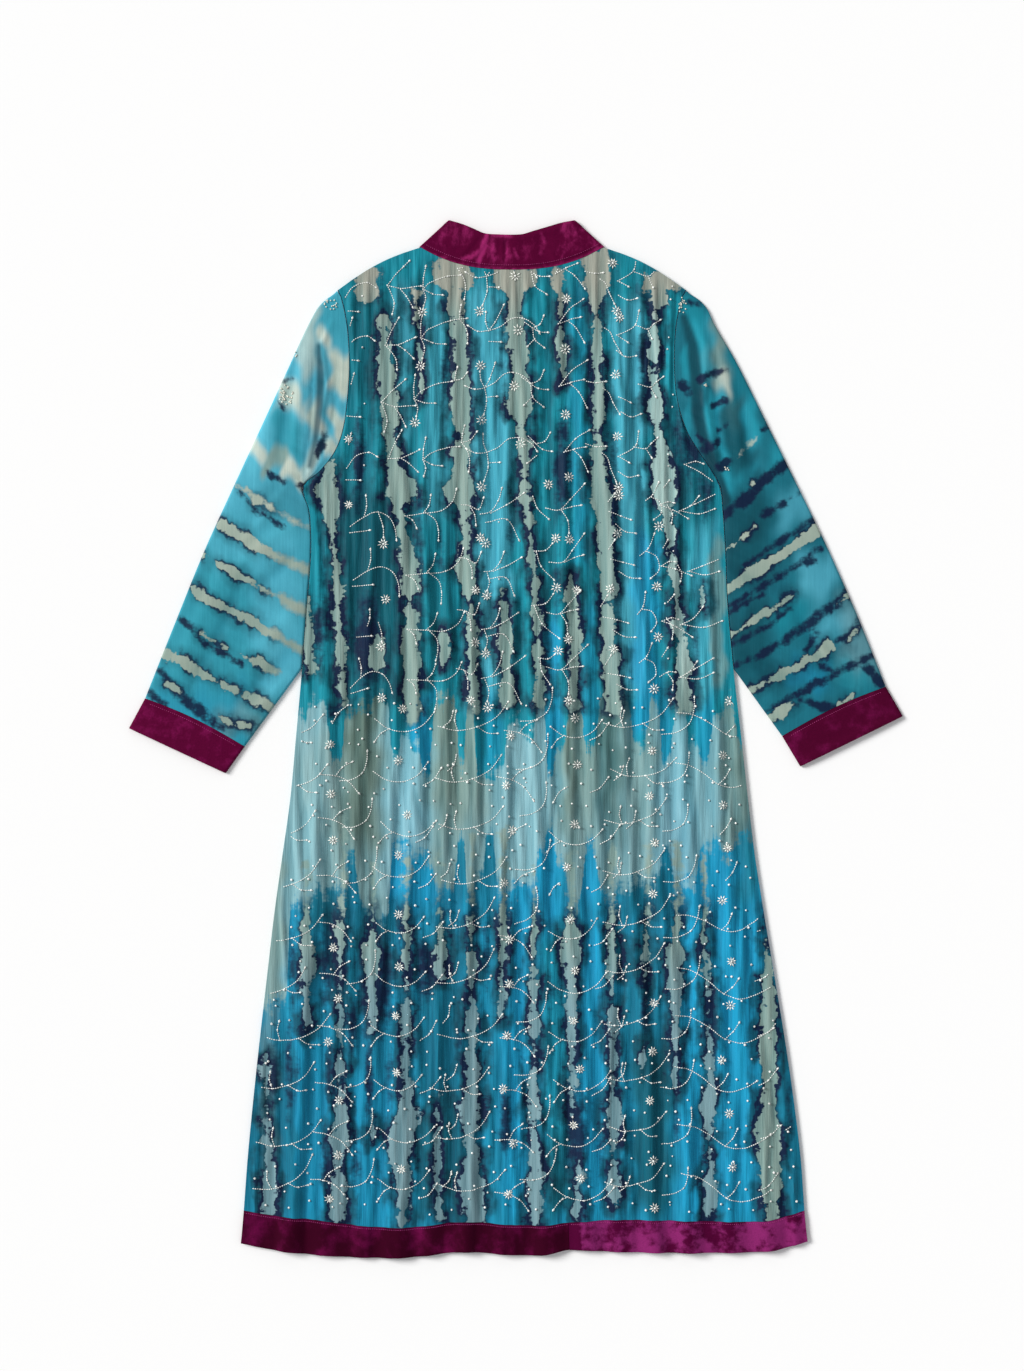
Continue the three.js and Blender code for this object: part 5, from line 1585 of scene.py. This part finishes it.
# %% Sprigs
# Each sprig's stems start at its node, or at a stem's side; numbers are squares right and down.
# A lone place is a bead, and a place with a third number a flower of that size.
sprigs = {
    "arc": [[(0, 0), (8, -11), (20, -15), (28, -11)], [(1, -22), (3, -32)], [(0, 11), (13, 11)],
        [(16, -3)], [(3, 34, 4)]],
    "fork": [[(0, 0), (8, -12), (14, -19), (19, -25)], [(0, 0), (12, 2), (23, 0), (32, -2)],
        [(13, 3), (19, 9), (26, 19)], [(0, 0), (5, 9), (8, 17), (7, 27)]],
    "cross": [[(0, 0), (-1, -12), (0, -25)], [(0, 0), (7, -8), (25, -17), (39, -20)],
        [(0, 0), (11, 4), (22, 4)], [(0, 0), (4, 9), (3, 18)], [(2, 25, 5.5)]],
    "hook": [[(0, 0), (8, -2), (14, -9)], [(0, 0), (1, -8), (3, -15)],
        [(0, 0), (5, 8), (7, 17), (6, 27)]],
    "broad": [[(0, 0), (-10, 2), (-20, -2)], [(0, 0), (-4, -8), (-5, -17)],
        [(0, 0), (5, -9), (11, -26)], [(0, 0), (10, -5), (20, -14), (30, -16), (42, -11), (48, -4)],
        [(0, 0), (2, 14), (-1, 28)], [(2, 10), (13, 9)], [(-3, 34, 5.5)]],
    "spray": [[(0, 0), (9, -4), (14, -14)], [(-9, -7), (0, 0), (8, 5), (18, 6)],
        [(0, 0), (2, 14), (13, 24)], [(2, 13), (-7, 22)], [(-17, 2, 6)]],
    "fan": [[(0, 0), (10, -14), (23, -24)], [(0, 0), (10, -4), (21, -7)],
        [(9, -3), (17, 4), (25, 17)], [(7, 24, 5.5)]],
    "drop": [[(-16, -8), (-6, -6), (3, -7)], [(0, 0), (5, 4), (9, 14), (15, 26)], [(13, -17, 5.5)]],
    "climb": [[(0, 0), (11, -6), (17, -12), (19, -25)], [(0, 0), (11, 6)],
        [(1, 15), (10, 20), (20, 18)], [(2, 38, 5.5)]],
    "tail": [[(-4, -1), (8, 2), (14, -3), (21, -8)], [(8, 2), (13, 12)], [(30, 10)], [(29, 22)]],
    "wing": [[(0, 0), (9, -4), (16, -3)], [(0, 0), (15, 5), (32, 14)], [(4, -20), (10, -28)]],
    "arch": [[(-12, 9), (0, 0), (12, -5), (23, -1), (29, 9), (31, 20)],
        [(0, 0), (2, -10), (1, -20)], [(13, -5), (18, 8), (19, 18)], [(-12, 15), (6, 12)],
        [(19, 24, 5.5)]],
    "sweep": [[(0, 0), (15, -2), (35, -5), (46, -14), (50, -26)], [(18, -3), (23, -10), (25, -20)],
        [(20, -3), (29, 4), (32, 14), (32, 24)], [(0, 0), (7, 4), (11, 12)]],
    "bow": [[(-7, -2), (0, -1), (9, 3), (14, -8)], [(1, 0), (5, 8), (6, 18)], [(10, 30, 5)]],
    "thicket": [[(0, 0), (9, -2), (17, -12), (21, -24)], [(10, -1), (25, -8), (42, -19)],
        [(3, 2), (6, 12), (4, 22)], [(5, 8), (25, 6), (36, 26)], [(4, 28, 5.5)], [(17, 8)]],
    "tuft": [[(-7, -1), (4, -2), (11, -9)], [(-5, 0), (0, 14), (13, 27)], [(14, -14, 5.5)]],
    "plume": [[(-13, -1), (0, 0), (10, -11), (23, -27)], [(2, 0), (12, -4), (21, -6)],
        [(2, 0), (9, 10), (11, 22)], [(12, 28, 5)]],
    "spark": [[(0, 0), (6, -9)], [(2, 10), (14, 13), (24, 16)], [(10, 22), (20, 28), (30, 29)],
        [(9, -15, 5.5)]],
    "curl": [[(0, 0), (7, -7), (12, -21)], [(6, -4), (15, 0), (18, 12), (11, 20)], [(17, 27, 5.5)],
        [(30, -6)]],
    "branch": [[(0, 0), (11, -5), (20, -15)], [(0, 0), (16, -7), (37, -17)],
        [(2, 0), (20, 3), (36, -2)], [(-12, -6), (-7, 3), (-8, 12)]],
    "glide": [[(0, 0), (16, 3), (34, -1), (50, -10), (60, -24)], [(17, 3), (14, -6), (15, -14)],
        [(34, -1), (43, 4), (52, 4)]],
    "swoop": [[(0, 0), (12, 8), (28, 10), (42, 4), (52, -8)], [(13, 8), (6, 12), (0, 20)],
        [(24, -10, 5)]],
    "dive": [[(0, 0), (14, 2), (26, 8), (36, 20)], [(14, 2), (21, -6), (31, -11)]],
    "swag": [[(0, 0), (14, 2), (30, 10), (46, 21), (62, 24), (78, 18), (90, 10)],
        [(46, 21), (53, 14), (58, 5)], [(50, -10, 5)]],
    "flick": [[(0, 0), (9, -4), (18, -15)], [(24, -12), (30, -17), (33, -26)]],
    "hanger": [[(0, 0), (12, -1), (24, -8), (29, -20), (30, -31)], [(8, 12)], [(-10, 14, 5)]],
}
shoulder_row = [
    # sprig, x, down from the row's level
    ("arc", 349, 22), ("fork", 386, 17), ("cross", 420, 15), ("hook", 460, -5), ("broad", 487, 3),
    ("spray", 535, 0), ("fan", 560, 3), ("drop", 602, 5), ("climb", 619, 11), ("tail", 640, 2),
    ("wing", 682, 12),
]
chest_row = [
    ("arch", 365, 5), ("sweep", 405, 11), ("bow", 466, -3), ("thicket", 482, 7), ("tuft", 540, -10),
    ("plume", 560, -2), ("spark", 606, -11), ("curl", 640, -8), ("wing", 662, 2),
    ("branch", 682, 5),
]
skirt_row = [
    ("glide", 256, 12), ("dive", 318, 0), ("hanger", 344, 8), ("swoop", 378, -2),
    ("flick", 420, 16), ("glide", 438, 5), ("dive", 498, 10), ("hanger", 518, -2),
    ("swoop", 550, 6), ("flick", 592, 18), ("glide", 606, -2), ("hanger", 662, 12),
    ("swag", 676, -8), ("flick", 758, 8),
]
rows = [(shoulder_row, level) for level in (273, 325, 386, 447)]
rows += [(chest_row, level) for level in (508, 565, 619, 672)]
rows += [(skirt_row, level) for level in (722, 771, 822, 873, 924, 975, 1026, 1078, 1130, 1180)]

# %% Lay out the vines
vine_rng = np.random.default_rng(21)
node_jitter, turn_jitter, size_jitter, stem_chance = 2.5, 0.1, 0.08, 0.93
scatter_jitter = 5


def place_sprig(sprig, node):
    """A sprig's stems, put at a node of the chart and turned and sized a little at random."""
    angle, size = vine_rng.normal(0, turn_jitter), 1 + vine_rng.normal(0, size_jitter)
    turn = size * np.array([[np.cos(angle), -np.sin(angle)], [np.sin(angle), np.cos(angle)]])
    origin = np.array(node) + vine_rng.normal(0, node_jitter, 2)
    kept = [stem for stem in sprig if vine_rng.random() < stem_chance]
    return [(np.array(stem, float)[:, :2] @ turn.T + origin, stem) for stem in kept]


paths, drops, tips, flowers = [], [], [], []
for row, row_level in rows:
    for name, x, down in row:
        for places, stem in place_sprig(sprigs[name], (x, row_level + down)):
            if len(stem) > 1:
                paths.append(places)
                run = places[-1] - places[-2]
                drops.append((*places[-1], np.arctan2(run[1], run[0])))
                tips.append(places[len(places) // 2])
            elif len(stem[0]) == 3:
                flowers.append((*places[0], stem[0][2]))
            else:
                tips.append(places[0])
scatter_x, scatter_y = np.meshgrid(np.arange(250, 805, 20.0), np.arange(704, 1215, 20.0))
scatter = np.stack([scatter_x, scatter_y], -1).reshape(-1, 2)
scatter = scatter + vine_rng.normal(0, scatter_jitter, scatter.shape)
print(len(paths), "stems,", len(tips), "beads on them,", len(flowers), "flowers")

# %% Make the vines
stitch_step, stitch_length, stitch_width = 2.3, 2.7 * mm, 1.35 * mm
drop_length, drop_width, thread_above = 4.6 * mm, 2.6 * mm, 0.3 * mm


def lay_stitches(centres, angles, length, width):
    """Grains laid on the cloth: both ends at its height, just above it."""
    keep = on_back(*from_chart(*centres.T))
    x, y = from_chart(*centres[keep].T)
    half = np.stack([np.cos(angles[keep]), -np.sin(angles[keep])], 1) * length / 2
    ends = [np.stack([x + s * half[:, 0], y + s * half[:, 1]], 1) for s in (-1, 1)]
    middle = cloth_top(x, y)
    tilt = (cloth_top(*ends[1].T) - cloth_top(*ends[0].T)) / 2
    a = np.column_stack([ends[0], middle - tilt + thread_above])
    b = np.column_stack([ends[1], middle + tilt + thread_above])
    return grains(a, b, width)


stem_points, stem_angles = [], []
for path in paths:
    stem = smooth_path(path, stitch_step)
    if len(stem) > 1:
        run = np.gradient(stem, axis=0)
        stem_points.append(stem)
        stem_angles.append(np.arctan2(run[:, 1], run[:, 0]))
drop_x, drop_y, drop_turn = np.array(drops).T
stem_places, stem_turns = np.concatenate(stem_points), np.concatenate(stem_angles)
stem_shapes = lay_stitches(stem_places, stem_turns, stitch_length, stitch_width)
drop_places = np.stack([drop_x, drop_y], 1)
drop_shapes = lay_stitches(drop_places, drop_turn, drop_length, drop_width)
vines = new_piece(
    "embroidered_vines",
    np.concatenate([stem_shapes[0], drop_shapes[0]]),
    np.concatenate([stem_shapes[1], drop_shapes[1] + len(stem_shapes[0])]),
    crease_angle=180,
)
print(len(vines.data.polygons), "faces in the vines")

# %% Make the flowers and the beads
petal_count, petal_length, petal_width = 9, 5.6 * mm, 1.6 * mm
flower_table = np.array(flowers)
turns = np.arange(petal_count) * 2 * np.pi / petal_count
turns = turns + vine_rng.uniform(0, 1, (len(flower_table), 1))
sizes = flower_table[:, 2:] * vine_rng.uniform(0.8, 1.15, (len(flower_table), petal_count))
petal_x = flower_table[:, :1] + 0.62 * sizes * np.cos(turns)
petal_y = flower_table[:, 1:2] + 0.62 * sizes * np.sin(turns)
petal_places = np.stack([petal_x.ravel(), petal_y.ravel()], 1)
petal_shapes = lay_stitches(petal_places, turns.ravel(), petal_length, petal_width)
petals = new_piece("embroidered_flowers", *petal_shapes, crease_angle=180)
bead_places = np.concatenate([np.array(tips), flower_table[:, :2], scatter])
bead_sizes = np.repeat([1.0, 1.3], [len(tips), len(flowers) + len(scatter)]) * mm
bead_sizes = bead_sizes * vine_rng.uniform(0.85, 1.15, len(bead_sizes))
sewn_on = on_back(*from_chart(*bead_places.T))
bead_x, bead_y = from_chart(*bead_places[sewn_on].T)
bead_sizes = bead_sizes[sewn_on]
bead_centres = np.column_stack([bead_x, bead_y, cloth_top(bead_x, bead_y) + 0.75 * bead_sizes])
beads = new_piece("sewn_beads", *bead_shapes(bead_centres, bead_sizes), crease_angle=180)
print(len(petals.data.polygons), "faces in the flowers,", len(bead_centres), "beads")


# %% Beads on the sleeves, stitches on the velvet
sleeve_beads = {  # beads of a cluster: x, y, half width, half height, how many
    "left": [(331, 305, 7, 5, 16), (287, 395, 8, 10, 34), (296, 354, 1.5, 3, 3)],
    "right": [(705, 385, 1.5, 3, 4), (727, 468, 3, 3, 5)],
}
shoulder_beads = (682, 306, 4, 8, 16)


def nearest_height(surface, x, y):
    """Height of the nearest of a surface's points to each place."""
    gap = np.hypot(surface[:, 0] - x[:, None], surface[:, 1] - y[:, None])
    return surface[gap.argmin(axis=1), 2]


def bead_cluster(middle_x, middle_y, half_x, half_y, count):
    """Places of beads strewn over an oval: the square root spreads them evenly."""
    turn, out = vine_rng.uniform(0, 2 * np.pi, count), np.sqrt(vine_rng.uniform(0, 1, count))
    return middle_x + half_x * out * np.cos(turn), middle_y + half_y * out * np.sin(turn)


small_bead = 0.9 * mm
small_bead_lift = 0.6 * small_bead
cluster_centres = []
for made, side in zip(sleeves, ("left", "right")):
    skin = points_of(made).reshape(2, sleeve_stations + 1, around(sleeve_counts), 3)[0]
    skin = skin[:, : sleeve_counts[0] + 1].reshape(-1, 3)
    for cluster in sleeve_beads[side]:
        x, y = from_chart(*bead_cluster(*cluster))
        height = nearest_height(skin, x, y) + small_bead_lift
        cluster_centres.append(np.column_stack([x, y, height]))
x, y = from_chart(*bead_cluster(*shoulder_beads))
cluster_centres.append(np.column_stack([x, y, cloth_top(x, y) + small_bead_lift]))
cluster_shapes = bead_shapes(np.concatenate(cluster_centres), small_bead)
clusters = new_piece("bead_clusters", *cluster_shapes, crease_angle=180)


def running_stitches(row, step=2.4 * mm, gap=0.25, above=0.15 * mm):
    """Starts and ends of stitches along a row of points, with a short gap after each."""
    run = run_along(row)
    at = np.arange(step, run[-1] - step, step)
    place = lambda off: np.stack([np.interp(off, run, row[:, k]) for k in range(3)], 1)
    return [place(off) + above * up for off in (at, at + step * (1 - gap))]


collar_back = collar_stations()[1] == 1
outer_rows = lambda piece, rows: points_of(piece).reshape(2, rows, -1, 3)[0]
velvet_rows = [outer_rows(collar, collar_rows + 1)[collar_rows - 4][collar_back]]
velvet_rows += [outer_rows(band, band_rows + 1)[1] for band in (hem_left, hem_right)]
velvet_rows += [outer_rows(cuff, cuff_stations)[2][2 : cuff_counts[0] - 1] for cuff in cuffs]
starts, ends = (np.concatenate(side) for side in zip(*map(running_stitches, velvet_rows)))
top_stitches = new_piece("top_stitches", *grains(starts, ends, 0.7 * mm), crease_angle=180)
print(len(starts), "stitches on the velvet,", len(clusters.data.vertices) // 26, "small beads")


# %% Silver thread and beads
def silver(name, tone, roughness):
    """A pale shiny finish whose brightness varies a little from stitch to stitch, as painted
    glints.
    """
    made, shader = material(name)
    grain = noise(place_on(shader), (420, 420, 420), 2, 0.7)
    # Painted glints: some stitches and beads brighter, others greyer
    vary = grey(ramp(grain, 0.34, 0.6, 0.55, 1.25))
    fill(shader, {"Base Color": blend(1.0, dyed(tone), vary, "MULTIPLY"), "Roughness": roughness})
    return made


for piece, slot, finish in (
    (clusters, "silk_body", ("silver_small_beads", "E9E6D8", 0.35)),
    (vines, "silk_body", ("silver_thread", "F4F5F0", 0.4)),
    (petals, "silk_body", ("silver_petals", "F4F5EE", 0.4)),
    (beads, "silk_body", ("silver_beads", "F6F7F3", 0.3)),
    (top_stitches, "velvet", ("magenta_thread", "B23A80", 0.5)),
):
    piece.data.materials.append(silver(*finish))
    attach(piece, "root")

# %% [markdown]
# ## What the cloth was cut to
#
# Each panel is cloth, so its flat size is stated: the length of its longest row and column,
# measured over its folds, and its area. On a sleeve and a cuff that goes all round the tube.

# %% State the sheets
def cut_of(skin, closed=False):
    """Width, length and area of a skin: longest row, longest column, and the sum of its quads."""
    if closed:
        skin = np.concatenate([skin, skin[:, :1]], axis=1)
    right, down = np.diff(skin, axis=1), np.diff(skin, axis=0)
    width = np.linalg.norm(right, axis=2).sum(1).max()
    length = np.linalg.norm(down, axis=2).sum(0).max()
    area = np.linalg.norm(np.cross(right[:-1], down[:, :-1]), axis=2).sum()
    return float(width), float(length), float(area)


def state_cut(piece, rows, columns, closed=False):
    """Prints the cut of a sheet, from the first skin of its wall."""
    skin = points_of(piece)[: rows * columns].reshape(rows, columns, 3)
    width, length, area = cut_of(skin, closed)
    print(f"{piece.name}: cut {width:.3f} x {length:.3f} m, {area:.4f} square metres")


for front in fronts:
    state_cut(front, front_rows + 1, front_columns + 1)
state_cut(back, back_rows + 1, back_columns + 1)
for made in sleeves:
    state_cut(made, sleeve_stations + 1, around(sleeve_counts), closed=True)
for cuff in cuffs:
    state_cut(cuff, cuff_stations, around(cuff_counts), closed=True)
state_cut(collar, collar_rows + 1, len(collar_stations()[0]))
state_cut(hem_left, band_rows + 1, len(left_shares))
state_cut(hem_right, band_rows + 1, len(right_shares))
for band in hem_fronts:
    state_cut(band, band_rows + 1, front_columns + 1)

# %% [markdown]
# ## Light and camera
#
# The jacket lies on a plain pale floor in soft light, and the camera looks straight down on it.
# A large light from the upper left brings out the folds; the sky fills the shadows.

# %% Floor, light and camera
floor_mesh = bpy.data.meshes.new("floor")
floor_half, floor_drop = 4.0, 0.4 * mm
corner = floor_half * np.array([(-1, -1), (1, -1), (1, 1), (-1, 1)])
floor_mesh.from_pydata([(x, y, -floor_drop) for x, y in corner], [], [(0, 1, 2, 3)])
floor = bpy.data.objects.new("floor", floor_mesh)
bpy.context.scene.collection.objects.link(floor)
paper, paper_shader = material("pale_floor")
fill(paper_shader, {"Base Color": (1, 1, 1), "Roughness": 0.9})
floor.data.materials.append(paper)

world = bpy.data.worlds.new("studio")
world.use_nodes = True
fill(world.node_tree.nodes["Background"], {"Color": (0.97, 0.98, 1), "Strength": 0.45})
bpy.context.scene.world = world


def sunlight(name, height, towards, power, softness, colour):
    """A far soft light: its height above the horizon and where it shines from, in degrees
    counted from +X to +Y."""
    light = bpy.data.lights.new(name, "SUN")
    light.angle, light.energy, light.color = np.radians(softness), power, colour
    made = bpy.data.objects.new(name, light)
    made.rotation_euler = (0, np.radians(90 - height), np.radians(towards))
    bpy.context.scene.collection.objects.link(made)


sunlight("window", height=34, towards=155, power=3.1, softness=24, colour=(1, 0.99, 0.97))
bpy.context.scene.view_settings.view_transform = "Standard"

camera_height, view_height, film = 3.0, 1.508, 36
camera_x, camera_y = -4.3 * mm, 58.9 * mm
camera = bpy.data.cameras.new("camera")
camera.sensor_width = film
camera.lens = film * camera_height / view_height
camera.clip_end = 20
eye = bpy.data.objects.new("camera", camera)
eye.location = (camera_x, camera_y, camera_height)
bpy.context.scene.collection.objects.link(eye)
bpy.context.scene.camera = eye
